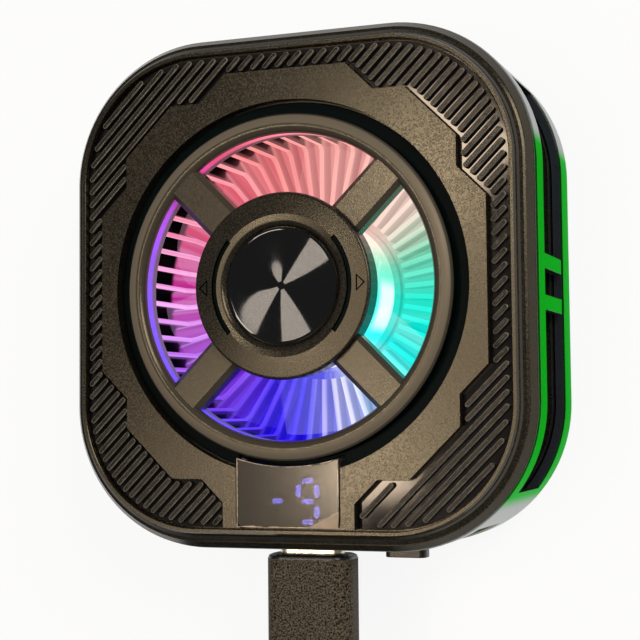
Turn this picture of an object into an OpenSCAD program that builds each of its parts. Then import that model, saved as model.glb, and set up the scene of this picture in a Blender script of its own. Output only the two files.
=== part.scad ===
// Magnetic phone cooling fan: a thermoelectric plate, a finned sink and a lit fan in a square housing.
// It lies on its back: z = 0 is the contact face, +Z leaves the front, the socket faces -Y.

/* [Housing] */
// Width of the side frame
body_w = 59.2; // [54:0.2:66]
// Length of the side frame, from the socket side to the far side
body_l = 62.6; // [57:0.2:70]
// Corner radius of the side frame
corner_r = 17.4; // [16:0.2:19]
// Wall of the side frame
frame_wall = 1.2; // [0.9:0.1:1.4]
// Width of the side frame's flange at the back
flange_w = 2.2; // [1.8:0.1:2.4]
// Thickness of that flange
flange_t = 1; // [0.8:0.1:1.2]
// Gap between pieces that lie beside each other
fit_gap = 0.15; // [0.1:0.05:0.2]
// Thickness of the rear cover's floor
floor_t = 1.8; // [1.6:0.1:2.2]
// Height of the rear cover's wall above its floor
tray_h = 4.8; // [4:0.1:5.4]
// Thickness of the rear cover's wall
tray_wall = 1.2; // [0.9:0.1:1.5]
// Thickness of the soft contact pad
pad_t = 0.8; // [0.6:0.1:1]

/* [Vents] */
// Height of the solid band behind the vents
rear_band = 4.6; // [4:0.1:5]
// Height of the solid band in front of the vents
front_band = 3.5; // [3:0.1:3.9]
// Distance from the frame's ends to the vents in the long sides
vent_end_l = 6.8; // [6.4:0.1:9]
// Distance from the frame's sides to the vents in the short sides
vent_end_w = 8.4; // [7.8:0.1:9.4]
// Where the short vents beside the socket begin, from the middle
vent_from = 16.2; // [16:0.1:17]
// Width of the two tabs in the middle of a vent
tab_w = 1.75; // [1.2:0.05:2.2]
// Clear width between those tabs
tab_gap = 3.1; // [2.4:0.1:4]
// How far the tabs stop short of the rear band
tab_short = 1.3; // [0.8:0.1:2]

/* [Front cover] */
// Width of the rim round the inlay
rim_w = 2.6; // [2.3:0.1:3]
// Depth of the inlay's bed below the rim
bed_depth = 1.4; // [1.2:0.1:1.6]
// Thickness of the cover plate
plate_t = 1.4; // [1.2:0.1:1.8]
// How far the cover's skirt reaches into the frame
skirt_h = 2.9; // [2:0.1:3.2]
// Thickness of that skirt
skirt_t = 1; // [0.8:0.1:1.4]
// Width of the ribbed band between the rim and the panel
band_w = 2.55; // [2.2:0.05:2.8]
// How far the panel's corners step in
notch = 3.4; // [3:0.1:3.8]
// Cut across the panel's corners
corner_cut = 6.1; // [5:0.1:6.6]
// Half the straight length of the panel's sides
side_flat = 9.6; // [8:0.1:10.4]
// Half the straight length of the panel's far end
end_flat = 7.7; // [6.5:0.1:8.2]
// Half the width of the panel's tongue at the display
tongue_half = 8.3; // [8:0.1:9]
// Thickness of the panel
panel_t = 1.9; // [1.6:0.1:2.2]
// Width of the panel between its sides and the fan's ring
panel_land = 2.05; // [1.85:0.05:2.25]
// Distance between ribs, square to them
rib_pitch = 1.13; // [1:0.01:1.4]
// Width of a rib
rib_w = 0.66; // [0.5:0.02:0.8]
// Height of a rib above the inlay
rib_h = 0.7; // [0.4:0.05:0.9]
// Thickness of the inlay under the ribs
inlay_t = 0.5; // [0.4:0.05:0.6]
// Space left at the ends of the ribs
rib_margin = 0.45; // [0.3:0.05:0.7]

/* [Fan grille] */
// Width of the fan's ring, from the air opening to the panel
ring_w = 4.1; // [3.9:0.1:4.4]
// Distance from the air opening to the ring's ridge
ridge_in = 0.9; // [0.8:0.05:1]
// Height of the ridge above the cover plate
ridge_h = 2.8; // [2.7:0.1:3.1]
// Width of the groove between the ring and the panel
groove_w = 1.75; // [1.6:0.05:1.85]
// Width of the step under the ring's edge
step_w = 1.2; // [1.1:0.1:1.3]
// Radius of the hub
hub_r = 11.1; // [10.6:0.1:11.6]
// Height of the hub's face above the cover plate
hub_h = 3.57; // [3.3:0.01:3.8]
// Depth of the hub below its face
hub_depth = 3.9; // [3.5:0.1:4]
// Width of a spoke at its foot
spoke_w = 4.6; // [3.8:0.1:5.2]
// Chamfer along a spoke's edges
spoke_cut = 0.6; // [0.3:0.05:0.9]
// Radius of the badge
badge_r = 6.9; // [6.4:0.1:7.2]
// Thickness of the badge
badge_t = 0.35; // [0.25:0.05:0.45]
// Radius of the two arc grooves in the hub
arc_r = 8.55; // [8.3:0.05:9]
// Width of those grooves
arc_w = 0.62; // [0.4:0.02:0.7]

/* [Heat pump and sink] */
// Width of the rear cover between the cold plate and the magnets
magnet_gap = 3; // [2.4:0.1:3.6]
// Thickness of the cold plate's inner flange
cold_flange_t = 1; // [0.8:0.1:1.3]
// Side of the thermoelectric plates
peltier_w = 20; // [18:0.5:22]
// Thickness of one thermoelectric plate
ceramic_t = 0.6; // [0.5:0.05:0.8]
// Height of the semiconductor pellets
pellet_h = 1.4; // [1.1:0.1:1.6]
// Thickness of the sink's base
sink_t = 1.8; // [1.5:0.1:2.2]
// Distance from the frame's sides to the fins
fin_gap = 4.2; // [4:0.1:4.8]
// Number of fins
fin_count = 54; // [40:2:60]
// Thickness of a fin
fin_t = 0.6; // [0.4:0.05:0.7]
// Height of the fins beside the fan
fin_h = 9.2; // [8.6:0.1:10]
// Height of the fins under the fan
fin_low_h = 2.6; // [2.2:0.1:4.2]
// Distance from the air opening to the step in the fins, seen from the front
fin_clear = 0.6; // [0.3:0.1:1.1]
// Distance from the socket side to the flat on the sink
sink_cut = 8.1; // [7.9:0.1:8.7]

/* [Fan] */
// Distance from the air opening to the tips of the blades, seen from the front
blade_gap = 0.7; // [0.3:0.1:1.5]
// Height of the blades
blade_h = 6.4; // [5.6:0.1:6.8]
// Number of blades
blade_count = 9; // [7:1:11]
// Thickness of a blade
blade_t = 0.8; // [0.6:0.05:1]
// Radius of the camber of a blade
camber_r = 9; // [8:0.5:12]
// Radius of the rotor cup
cup_r = 9.4; // [9:0.1:9.7]
// Wall of the rotor cup
cup_wall = 0.9; // [0.7:0.05:1]
// Height of the rotor cup
cup_h = 9.4; // [9:0.1:9.6]
// Radius of the shaft
shaft_r = 1; // [0.8:0.05:1.2]
// Running gap of the shaft in its sleeve
shaft_gap = 0.04; // [0.02:0.01:0.08]
// Wall of the bearing sleeve
sleeve_wall = 0.9; // [0.7:0.05:1.1]
// Thickness of the motor's base
motor_base_t = 1.2; // [1:0.1:1.5]

/* [Lighting] */
// Thickness of a circuit board
board_t = 0.8; // [0.6:0.1:1]
// Number of light chips round the ring
led_count = 12; // [8:2:16]
// Height of the lights' pocket in the ring, above the cover plate
pocket_h = 1.75; // [1.65:0.05:1.8]
// Wall of the diffuser ring
diffuser_wall = 0.85; // [0.7:0.05:0.9]

/* [Socket, button and display] */
// Height of the control board above the rear cover's floor
board_rise = 10.2; // [9.6:0.1:10.4]
// Half the width of the control board
board_half = 15.7; // [15.2:0.1:15.9]
// Width of the plug's metal shell
plug_w = 8.25; // [8:0.05:8.5]
// Height of the plug's metal shell
plug_h = 2.4; // [2.2:0.05:2.6]
// Sheet of the plug's and the socket's shells
shell_t = 0.3; // [0.2:0.05:0.4]
// Place of the button along the socket side
button_x = 12.1; // [11.4:0.1:12.3]
// Width of the button
button_w = 5.1; // [4.4:0.1:5.4]
// Height of the button
button_h = 2.4; // [2:0.1:2.8]
// How far the button stands out
button_out = 1; // [0.6:0.1:1.4]
// Travel of the button
button_travel = 0.5; // [0.3:0.05:0.6]
// Half the width of the display window
window_half = 6.6; // [6:0.1:6.8]
// Thickness of the display window
window_t = 0.9; // [0.7:0.05:1.1]
// Space before and behind a digit in the window
digit_edge = 1.15; // [1:0.05:1.3]

/* [Cable] */
// Diameter of the cable
cable_d = 3.2; // [2.8:0.1:3.4]
// Length of the plug's moulded body
plug_body_l = 18; // [14:0.5:18]
// Gap from the housing to that body
plug_show = 0.8; // [0.6:0.1:1.6]
// Turns in the coil
coil_turns = 8.75; // [4.75:1:8.75]
// Middle radius of the coil
coil_mid_r = 17.5; // [17:0.1:19]
// Gap between turns that lie side by side
turn_gap = 0.5; // [0.45:0.05:0.6]

/* [Hidden] */
$fn = 64;
eps = 0.01;
diag = sqrt(2) - 1;

// Heights, from the contact face to the front
floor_z = pad_t;
tray_z = floor_z + floor_t;
cold_z = tray_z + cold_flange_t;
pellet_z = cold_z + ceramic_t;
hot_z = pellet_z + pellet_h;
sink_z = hot_z + ceramic_t;
base_z = sink_z + sink_t;
fin_top = base_z + fin_h;
cover_rise = 3;
plate_z = fin_top + cover_rise;
bed_z = plate_z + plate_t;
panel_z = bed_z + panel_t;
led_z = bed_z - board_t;
crown_top = led_z - 0.4;
seam = 0.2;
frame_z = floor_z + seam;
frame_top = plate_z - seam;
vent_z = frame_z + rear_band;
vent_top = frame_top - front_band;

// Plan sizes; the round pieces fill a square that is as wide as the frame or a little shorter than it
end_extra = 1.7;
round_half = min(body_w / 2, body_l / 2 - end_extra);
inlay_w = body_w - 2 * rim_w;
inlay_l = body_l - 2 * rim_w;
inlay_r = corner_r - rim_w;
panel_x = inlay_w / 2 - band_w;
panel_y = inlay_l / 2 - band_w;
panel_hole_r = round_half - rim_w - band_w - panel_land;
opening_r = panel_hole_r - ring_w;
ridge_r = opening_r + ridge_in;
ring_edge_r = panel_hole_r - groove_w;
spigot_r = panel_hole_r - step_w;
ring_wall = 0.7;
pocket_r = ring_edge_r - ring_wall;
board_pocket_r = spigot_r - ring_wall;
vent_half_l = body_l / 2 - vent_end_l;
vent_half_w = body_w / 2 - vent_end_w;
inner_in = frame_wall + fit_gap;
pad_in = flange_w + fit_gap;
boss_out = 8.7;
boss_x = body_w / 2 - corner_r + boss_out;
boss_y = body_l / 2 - corner_r + boss_out;
boss_r = 2.5;
boss_split = base_z + 6;
screw_r = 0.85;
screw_head_r = 1.8;
screw_head_h = 1.2;
cross_l = 2.2;
cross_w = 0.5;
magnet_edge = 3.4;
magnet_w = 4;
magnet_out_r = round_half - magnet_edge;
magnet_in_r = magnet_out_r - magnet_w;
magnet_h = 1.2;
magnet_count = 18;
cold_r = magnet_in_r - magnet_gap;
fin_r = round_half - fin_gap;
fin_step_r = opening_r + fin_clear;
crown_w = 1.3;
sink_flat = body_l / 2 - sink_cut;

// Rotor and motor
blade_r = opening_r - blade_gap;
rotor_z = base_z + 2.4;
rotor_top = rotor_z + cup_h;
blade_z = rotor_top - blade_h;
magnet_t = 0.8;
magnet_short = 3.6;
magnet_r = cup_r - cup_wall - 0.05;
sleeve_r = shaft_r + shaft_gap + sleeve_wall;
tube_r = sleeve_r + 0.05;
tube_wall = 0.7;
tube_top = rotor_top - 3.2;
sleeve_z = base_z + motor_base_t + 0.1;
stator_r = magnet_r - magnet_t - 0.5;
stator_z = base_z + 3.4;
stator_h = 3;
pole_count = 4;
pole_w = 2.2;

// Board, socket and button
board_z = tray_z + board_rise;
board_top = board_z + board_t;
wall_y = -body_l / 2;
board_front = wall_y + 1.6;
board_back = -sink_flat - 0.4;
socket_gap = 0.07;
socket_w = plug_w + 2 * socket_gap + 2 * shell_t;
board_post_r = 1.5;
board_post_x = socket_w / 2 + 2.8;
board_post_y = (board_front + board_back) / 2;
board_head_r = 1.4;
board_head_h = 0.9;
board_screw_l = 4;
slot_l = 1.8;
slot_w = 0.4;
socket_h = plug_h + 2 * socket_gap + 2 * shell_t;
usb_z = board_top + socket_h / 2;
socket_l = 6.6;
socket_front = wall_y + 0.3;
tongue_t = 0.7;
flange_over = 0.7;
button_flange_t = 0.6;
button_gap = 0.3;
inner_r = corner_r - frame_wall;
curve_reach = max(0, button_x + button_w / 2 + flange_over - body_w / 2 + corner_r);
curve_drop = inner_r - sqrt(inner_r * inner_r - curve_reach * curve_reach);
button_flange_y = wall_y + frame_wall + curve_drop + button_gap;
switch_y = button_flange_y + button_flange_t + button_travel + 0.1;
switch_w = 4.2;
plunger_l = 0.5;
plunger_w = 1.6;
plunger_h = 1.2;
board_cut_x = button_x - button_w / 2 - flange_over - 0.35;
chip_h = 0.9;
chip_l = 2.4;
chips = [[-12, 0, 3.2], [-14.6, 1.2, 1.4]];

// Display
window_top_r = ring_edge_r + 0.45;
window_end = -inlay_l / 2 + 0.15;
window_z = panel_z - window_t + 0.05;
window_corner = 0.9;
segment_t = 0.2;
segment_w = 0.6;
segment_gap = 0.9;
module_half = window_half - 0.9;
digit_h = -window_end - window_top_r - 2 * digit_edge;
digit_w = digit_h * 0.565;
digit_x = 2.15;
digit_y = (window_end - window_top_r) / 2 - 0.55;
dash_x = -1.7;
dash_l = 1.3;

// Cable and its route: the lead leaves the plug, the coil lies on the tie, the tail ends in the far plug
plug_body_y = wall_y - plug_show;
plug_body_w = 10.9;
plug_body_h = 6.2;
grip_r = 2.4;
boot_r = 2.8;
boot_end_r = cable_d / 2 + 0.6;
boot_l = 7;
lead_y = plug_body_y - plug_body_l - boot_l;
turn_step = cable_d + turn_gap;
layers = 4;
tie_t = 0.4;
coil_z = tie_t + 0.2 + cable_d / 2;
leg_turns = coil_turns / layers;
coil_spread = leg_turns * turn_step;
coil_out_r = coil_mid_r + coil_spread / 2;
coil_x = -coil_out_r;
lead_run = 18.6;
coil_y = lead_y - lead_run;
rings_per_turn = 24;
tie_w = 5;
tie_turn = 225;
far_z = 4.2;
far_body_w = 15.5;
far_body_h = 7.8;
far_body_l = 20;
far_shell_w = 12;
far_shell_h = 4.5;
far_shell_l = 12;
lead_points = [[0, lead_y, usb_z], [0, lead_y - cable_d, usb_z], [0, lead_y - lead_run / 3, usb_z - 0.2],
    [0, lead_y - lead_run / 2, usb_z - 0.6], [0, coil_y + lead_run / 3, coil_top() + 0.3],
    [0, coil_y + cable_d, coil_top()], [0, coil_y, coil_top()]];
tail_y = coil_y + coil_out_r;
tail_run = 9;
far_x = coil_x + tail_run + cable_d;
tail_points = [[coil_x, tail_y, coil_z], [coil_x + cable_d, tail_y, coil_z],
    [coil_x + 0.55 * tail_run, tail_y, coil_z + 0.4], [coil_x + 0.82 * tail_run, tail_y, far_z - 0.4],
    [coil_x + tail_run, tail_y, far_z], [far_x, tail_y, far_z]];

function coil_top() = coil_z + (layers - 1) * turn_step;

// Flat shapes
module rounded(w, l, r)
{
    square([w, l - 2 * r], center = true);
    square([w - 2 * r, l], center = true);
    for (sx = [-1, 1], sy = [-1, 1])
        translate([sx * (w / 2 - r), sy * (l / 2 - r)])
            circle(r);
}

module inset_outline(inset)
{
    rounded(body_w - 2 * inset, body_l - 2 * inset, corner_r - inset);
}

module ring(outer, inner)
{
    difference() {
        circle(outer);
        circle(inner);
    }
}

module stadium(w, h)
{
    square([w - h, h], center = true);
    for (s = [-1, 1])
        translate([s * (w - h) / 2, 0])
            circle(h / 2);
}

module plate(z, t)
{
    translate([0, 0, z])
        linear_extrude(t)
            children();
}

// Sweeps a profile round a rounded rectangle; profile x = 0 lies on the outline, and outwards is +x
module swept(w, l, r)
{
    for (k = [0:3])
        translate([(k == 0 || k == 3 ? 1 : -1) * (w / 2 - r), (k < 2 ? 1 : -1) * (l / 2 - r), 0])
            rotate(90 * k)
                rotate_extrude(angle = 90)
                    translate([r, 0])
                        children();
    for (turn = [0, 180])
        rotate(turn) {
            translate([w / 2, l / 2 - r, 0])
                rotate([90, 0, 0])
                    linear_extrude(l - 2 * r)
                        children();
            rotate(90)
                translate([l / 2, w / 2 - r, 0])
                    rotate([90, 0, 0])
                        linear_extrude(w - 2 * r)
                            children();
        }
}

module at_bosses()
{
    for (sx = [-1, 1], sy = [-1, 1])
        translate([sx * boss_x, sy * boss_y, 0])
            children();
}

module at_board_posts()
{
    for (s = [-1, 1])
        translate([s * board_post_x, board_post_y, 0])
            children();
}

// Shapes that point out of the socket side, drawn in x and z
module out_of_socket_side(y, z, length)
{
    translate([0, y, z])
        rotate([90, 0, 0])
            linear_extrude(length)
                children();
}

// Outline of the panel, grown by g: sides, stepped corners cut across, and the tongue at the display
function panel_quarter(g) = [
    [panel_x + g, side_flat + g * diag],
    [panel_x - notch + g, side_flat + notch + g * diag],
    [panel_x - notch + g, panel_y - notch - corner_cut + g * diag],
    [panel_x - notch - corner_cut + g * diag, panel_y - notch + g],
    [end_flat + notch + g * diag, panel_y - notch + g]];
function tongue_y(g) = end_flat + panel_y + g * sqrt(2) - tongue_half - g;
function panel_right(g) = concat(
    [[tongue_half + g, -inlay_l / 2 - g], [tongue_half + g, -tongue_y(g)]],
    [for (i = [4:-1:0]) [panel_quarter(g)[i][0], -panel_quarter(g)[i][1]]],
    panel_quarter(g),
    [[end_flat + g * diag, panel_y + g]]);
function both_sides(right) = concat(right,
    [for (i = [len(right) - 1:-1:0]) [-right[i][0], right[i][1]]]);
function panel_outline(g) = both_sides(panel_right(g));

// Outline of the inlay, drawn in by g
corner_steps = 8;
inlay_corner = [inlay_w / 2 - inlay_r, inlay_l / 2 - inlay_r];
function inlay_outline(g) = [for (k = [0:3], i = [0:corner_steps])
    let (a = 90 * (k + i / corner_steps), sx = k == 0 || k == 3 ? 1 : -1, sy = k < 2 ? 1 : -1)
    [sx * inlay_corner[0] + (inlay_r - g) * cos(a), sy * inlay_corner[1] + (inlay_r - g) * sin(a)]];

// Where the line x - y = c crosses an outline, in order of x
function crossings(outline, c) = sorted([for (i = [0:len(outline) - 1])
    let (a = outline[i], b = outline[(i + 1) % len(outline)], da = a[0] - a[1] - c, db = b[0] - b[1] - c)
    if (da * db < 0) a[0] + (b[0] - a[0]) * da / (da - db)]);
function sorted(v) = len(v) < 2 ? v : concat(
    sorted([for (i = [1:1:len(v) - 1]) if (v[i] < v[0]) v[i]]),
    [v[0]],
    sorted([for (i = [1:1:len(v) - 1]) if (v[i] >= v[0]) v[i]]));

// Ribs as [first x, last x, c]: the stretches of each slanted line between the inlay's edge and the panel
rib_step = rib_pitch * sqrt(2);
rib_lines = floor((inlay_w + inlay_l) / 2 / rib_step);
function ribs() = [for (k = [-rib_lines:rib_lines])
    let (c = (k + 0.5) * rib_step, edge = crossings(inlay_outline(rib_margin), c))
    if (len(edge) == 2)
        let (marks = concat([edge[0]], crossings(panel_outline(rib_margin), c), [edge[1]]))
        for (i = [0:2:len(marks) - 2])
            if (marks[i] >= edge[0] && marks[i + 1] <= edge[1] && marks[i + 1] - marks[i] > 1.4 * rib_w)
                [marks[i], marks[i + 1], c]];

// Outline of the display window: rounded corners, and a hollow end that follows the fan's ring
module window_outline(gap, ring_gap)
{
    difference() {
        rounded(2 * (window_half - gap), -2 * (window_end + gap), window_corner - gap);
        circle(window_top_r + ring_gap);
        translate([-body_w / 2, 0])
            square([body_w, body_l]);
    }
}

module socket_hole(grow)
{
    translate([0, usb_z])
        stadium(plug_w + 2 * grow, plug_h + 2 * grow);
}

module button_face(grow)
{
    translate([button_x, usb_z])
        rounded(button_w + 2 * grow, button_h + 2 * grow, 0.8);
}

// Front

// The rim: a narrow top and a groove that falls outwards, as shares of the rim's width and of its depth
groove_depth = 1.6;
rim_shape = [[0.02, 0.04], [0.05, 0], [0.19, 0], [0.26, 0.25], [0.3, 0.53], [0.385, 0.75], [0.52, 0.925],
    [0.625, 0.985], [0.675, 1]];
rim_profile = concat([[rim_shape[0][0] * rim_w, 0]],
    [for (s = rim_shape) [s[0] * rim_w, bed_depth - s[1] * groove_depth]]);

module front_cover()
{
    edge = rim_w - fit_gap;
    color("#2c2826")
        difference() {
            union() {
                plate(plate_z, plate_t)
                    inset_outline(rim_w - 0.1);
                translate([0, 0, bed_z])
                    swept(inlay_w, inlay_l, inlay_r)
                        polygon(concat(rim_profile, [[edge - 0.08, -plate_t + 0.3], [edge, -plate_t + 0.2],
                            [edge, -plate_t], [-0.5, -plate_t], [-0.5, 0]]));
                plate(plate_z - skirt_h, skirt_h)
                    difference() {
                        inset_outline(inner_in);
                        inset_outline(inner_in + skirt_t);
                    }
                at_bosses()
                    plate(boss_split + 0.3, plate_z - boss_split - 0.3 + eps)
                        circle(boss_r - 0.2);
            }
            plate(plate_z - eps, plate_t + 2 * eps) {
                circle(spigot_r + fit_gap);
                window_outline(0.4, 1);
            }
            at_bosses()
                plate(boss_split, plate_z - boss_split)
                    circle(screw_r);
        }
}

module ribbed_inlay()
{
    color("#1a1614") {
        plate(bed_z, inlay_t)
            difference() {
                rounded(inlay_w - 2 * fit_gap + 0.1, inlay_l - 2 * fit_gap + 0.1, inlay_r - fit_gap + 0.05);
                polygon(panel_outline(fit_gap));
            }
        plate(bed_z + inlay_t - 0.1, rib_h + 0.1)
            for (rib = ribs())
                translate([(rib[0] + rib[1]) / 2, (rib[0] + rib[1]) / 2 - rib[2]])
                    rotate(45)
                        stadium((rib[1] - rib[0]) * sqrt(2), rib_w);
    }
}

module face_panel()
{
    color("#3a3430")
        plate(bed_z, panel_t)
            difference() {
                intersection() {
                    polygon(panel_outline(0));
                    rounded(inlay_w - 2 * fit_gap, inlay_l - 2 * fit_gap, inlay_r - fit_gap);
                }
                circle(panel_hole_r);
                window_outline(0, 0);
            }
}

spoke_top = ridge_h - 0.3;
spoke_foot = 0.25;
spoke_shape = [[spoke_w / 2, spoke_foot], [spoke_w / 2, spoke_top - spoke_cut],
    [spoke_w / 2 - spoke_cut, spoke_top]];
spoke_end = 0.4;

// The ring from its spigot up over the domed top to the air opening, and down through the lights' pocket
flange_h = 0.5;
spigot_h = 1.2;
ring_shape = [[board_pocket_r, -spigot_h], [spigot_r, -spigot_h], [spigot_r, 0],
    [panel_hole_r - fit_gap, 0], [panel_hole_r - fit_gap, flange_h - 0.1], [panel_hole_r - 0.3, flange_h],
    [ring_edge_r + 0.1, flange_h], [ring_edge_r, flange_h + 0.1],
    [ring_edge_r, ridge_h - 0.75], [ring_edge_r - 0.08, ridge_h - 0.6], [ring_edge_r - 0.3, ridge_h - 0.38],
    [ring_edge_r - 0.65, ridge_h - 0.2], [ridge_r + 0.4, ridge_h - 0.06], [ridge_r, ridge_h],
    [ridge_r - 0.2, ridge_h - 0.03], [opening_r + 0.45, ridge_h - 0.15], [opening_r + 0.15, ridge_h - 0.42],
    [opening_r, ridge_h - 0.75], [opening_r, pocket_h], [pocket_r, pocket_h], [pocket_r, 0],
    [board_pocket_r, 0]];

// Triangle that points outwards beside an arc groove, drawn in by g
module pointer(g)
{
    polygon([[g - 0.5, 2 * g - 1.05], [0.65 - 1.5 * g, 0], [g - 0.5, 1.05 - 2 * g]]);
}

module fan_grille()
{
    color("#36302d") {
        difference() {
            translate([0, 0, bed_z])
                rotate_extrude()
                    polygon(ring_shape);
            plate(bed_z - 0.3, panel_t + 0.3)
                window_outline(-fit_gap, -fit_gap);
        }
        intersection() {
            for (a = [45, 135])
                rotate(a)
                    translate([-opening_r - spoke_end, 0, bed_z])
                        rotate([90, 0, 90])
                            linear_extrude(2 * (opening_r + spoke_end))
                                polygon(both_sides(spoke_shape));
            union() {
                plate(bed_z, ridge_h)
                    ring(opening_r - 0.1, hub_r - spoke_end);
                plate(bed_z + pocket_h + 0.1, ridge_h - pocket_h)
                    ring(opening_r + spoke_end, hub_r - spoke_end);
            }
        }
        difference() {
            translate([0, 0, bed_z + hub_h])
                rotate_extrude()
                    polygon([[0, -hub_depth], [hub_r - 0.6, -hub_depth], [hub_r - 0.2, -hub_depth + 0.4],
                        [hub_r - 0.2, -0.55], [hub_r, -0.45], [hub_r - 0.15, -0.1], [hub_r - 0.4, 0],
                        [badge_r + 0.85, 0], [badge_r + 0.1, -0.5], [badge_r + 0.1, -0.6], [0, -0.6]]);
            plate(bed_z + hub_h - 0.35, 1)
                for (turn = [0, 180])
                    rotate(turn) {
                        intersection() {
                            ring(arc_r + arc_w / 2, arc_r - arc_w / 2);
                            polygon([[0, 0], [hub_r, -0.84 * hub_r], [hub_r, 0.84 * hub_r]]);
                        }
                        translate([(arc_r + hub_r) / 2 + 0.05, 0])
                            difference() {
                                pointer(0);
                                pointer(0.17);
                            }
                    }
        }
    }
}

module hub_badge()
{
    color("#101010")
        translate([0, 0, bed_z + hub_h - 0.6])
            rotate_extrude()
                polygon([[0, 0], [badge_r, 0], [badge_r, badge_t - 0.1], [badge_r - 0.1, badge_t],
                    [0, badge_t]]);
}

module display_window()
{
    color("#3b3a40", 0.6)
        plate(window_z, window_t)
            window_outline(fit_gap, fit_gap);
}

// One segment of a digit, along x, with pointed ends
module segment(length)
{
    tip = length / 2;
    side = segment_w / 2;
    flat = tip - side / 2;
    polygon([[-tip, 0], [-flat, side], [flat, side], [tip, 0], [flat, -side], [-flat, -side]]);
}

segment_z = window_z - 0.1 - segment_t;

module display_segments()
{
    half = digit_h / 4 - segment_w / 8;
    run = digit_w - segment_w - segment_gap;
    color("#8f86ff")
        plate(segment_z, segment_t)
            translate([0, digit_y]) {
                translate([dash_x, 0])
                    segment(dash_l);
                translate([digit_x, 0]) {
                    for (k = [-1:1])
                        translate([0, 2 * k * half])
                            segment(run);
                    for (place = [[1, 1], [1, -1], [-1, 1]])
                        translate([place[0] * (digit_w - segment_w) / 2, place[1] * half])
                            rotate(90)
                                segment(2 * half - segment_gap);
                }
            }
}

module display_module()
{
    color("#151519")
        plate(plate_z - 1.5, segment_z - plate_z + 1.5)
            intersection() {
                window_outline(0.7, 1.3);
                translate([0, digit_y])
                    square([2 * module_half, digit_h + 1.6], center = true);
            }
}

// Lighting: the board, the chips on it and the diffuser fill the ring's pocket

diffuser_in_r = opening_r + 0.1;
diffuser_out_r = diffuser_in_r + diffuser_wall;
led_h = 0.8;
led_l = 1.6;

module light_ring()
{
    color("#e8e4ff")
        translate([0, 0, bed_z])
            rotate_extrude()
                polygon([[diffuser_in_r, -board_t], [diffuser_out_r, -board_t], [diffuser_out_r, led_h],
                    [pocket_r - 0.1, led_h], [pocket_r - 0.1, pocket_h], [diffuser_in_r, pocket_h]]);
}

module led_board()
{
    color("#f2f2ee")
        plate(led_z, board_t)
            ring(board_pocket_r - 0.05, diffuser_out_r + 0.05);
}

module led_chips()
{
    color("#fff6d8")
        plate(bed_z, led_h)
            for (k = [0:led_count - 1])
                rotate((k + 0.5) * 360 / led_count)
                    translate([diffuser_out_r + 0.08, -led_l / 2])
                        square([pocket_r - diffuser_out_r - 0.16, led_l]);
}

// Housing

// Vents: [turn, distance of the wall, from, to] along each side
vents = [[0, body_w / 2, -vent_half_l, vent_half_l], [180, body_w / 2, -vent_half_l, vent_half_l],
    [90, body_l / 2, -vent_half_w, vent_half_w], [270, body_l / 2, vent_from, vent_half_w],
    [270, body_l / 2, -vent_half_w, -vent_from]];
vent_reach = 9;
frame_foot = [[-0.9, 0], [-0.45, 0.12], [-0.12, 0.45], [0, 0.9]];
tab_mid = (tab_gap + tab_w) / 2;

module side_frame()
{
    height = frame_top - frame_z;
    color("#0f9a2c") {
        difference() {
            translate([0, 0, frame_z])
                swept(body_w, body_l, corner_r)
                    polygon(concat([[-flange_w, 0]], frame_foot, [[0, height - 0.3], [-0.3, height],
                        [-frame_wall, height], [-frame_wall, flange_t], [-flange_w, flange_t]]));
            for (v = vents)
                rotate(v[0])
                    translate([v[1] - vent_reach, v[2], vent_z])
                        cube([vent_reach + 2, v[3] - v[2], vent_top - vent_z]);
            out_of_socket_side(wall_y + 2 * frame_wall, 0, 3 * frame_wall) {
                socket_hole(shell_t + socket_gap + 2 * fit_gap);
                button_face(fit_gap);
            }
        }
        for (i = [0:2], s = [-1, 1])
            rotate(vents[i][0])
                translate([vents[i][1] - frame_wall, s * tab_mid - tab_w / 2, vent_z + tab_short])
                    cube([frame_wall, tab_w, vent_top - vent_z - tab_short + eps]);
    }
}

module rear_cover()
{
    shoulder = frame_z + flange_t + fit_gap - floor_z;
    color("#26221f")
        difference() {
            union() {
                plate(floor_z, shoulder + eps)
                    inset_outline(pad_in);
                plate(floor_z + shoulder, floor_t - shoulder)
                    inset_outline(inner_in);
                plate(tray_z - eps, tray_h)
                    difference() {
                        inset_outline(inner_in);
                        inset_outline(inner_in + tray_wall);
                    }
                at_bosses()
                    plate(tray_z - eps, boss_split - tray_z)
                        circle(boss_r);
                at_board_posts()
                    plate(tray_z - eps, board_rise + eps)
                        circle(board_post_r);
            }
            plate(floor_z - eps, floor_t + 2 * eps)
                circle(cold_r + fit_gap);
            plate(floor_z - eps, magnet_h + 0.1)
                ring(magnet_out_r + fit_gap, magnet_in_r - fit_gap);
            at_bosses() {
                plate(floor_z - eps, screw_head_h + 0.2)
                    circle(screw_head_r + fit_gap);
                plate(floor_z, boss_split)
                    circle(screw_r + fit_gap);
            }
            at_board_posts()
                plate(board_z - board_screw_l - 1, board_screw_l + 1 + eps)
                    circle(screw_r - 0.15);
        }
}

module magnet_ring()
{
    color("#8e8e92")
        for (k = [0:magnet_count - 1])
            rotate(k * 360 / magnet_count)
                translate([0, 0, floor_z])
                    rotate_extrude(angle = 360 / magnet_count - 0.6)
                        translate([magnet_in_r, 0])
                            square([magnet_out_r - magnet_in_r, magnet_h]);
}

module contact_pad()
{
    color("#2e2e30")
        plate(0, pad_t)
            difference() {
                inset_outline(pad_in);
                circle(cold_r + fit_gap);
            }
}

module housing_screws()
{
    color("#9a9a9e")
        at_bosses() {
            plate(floor_z + 0.1, screw_head_h)
                difference() {
                    circle(screw_head_r);
                    square([cross_l, cross_w], center = true);
                    square([cross_w, cross_l], center = true);
                }
            plate(floor_z + 0.6, plate_z - floor_z - 1)
                circle(screw_r - 0.02);
        }
}

// Heat pump and sink

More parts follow.
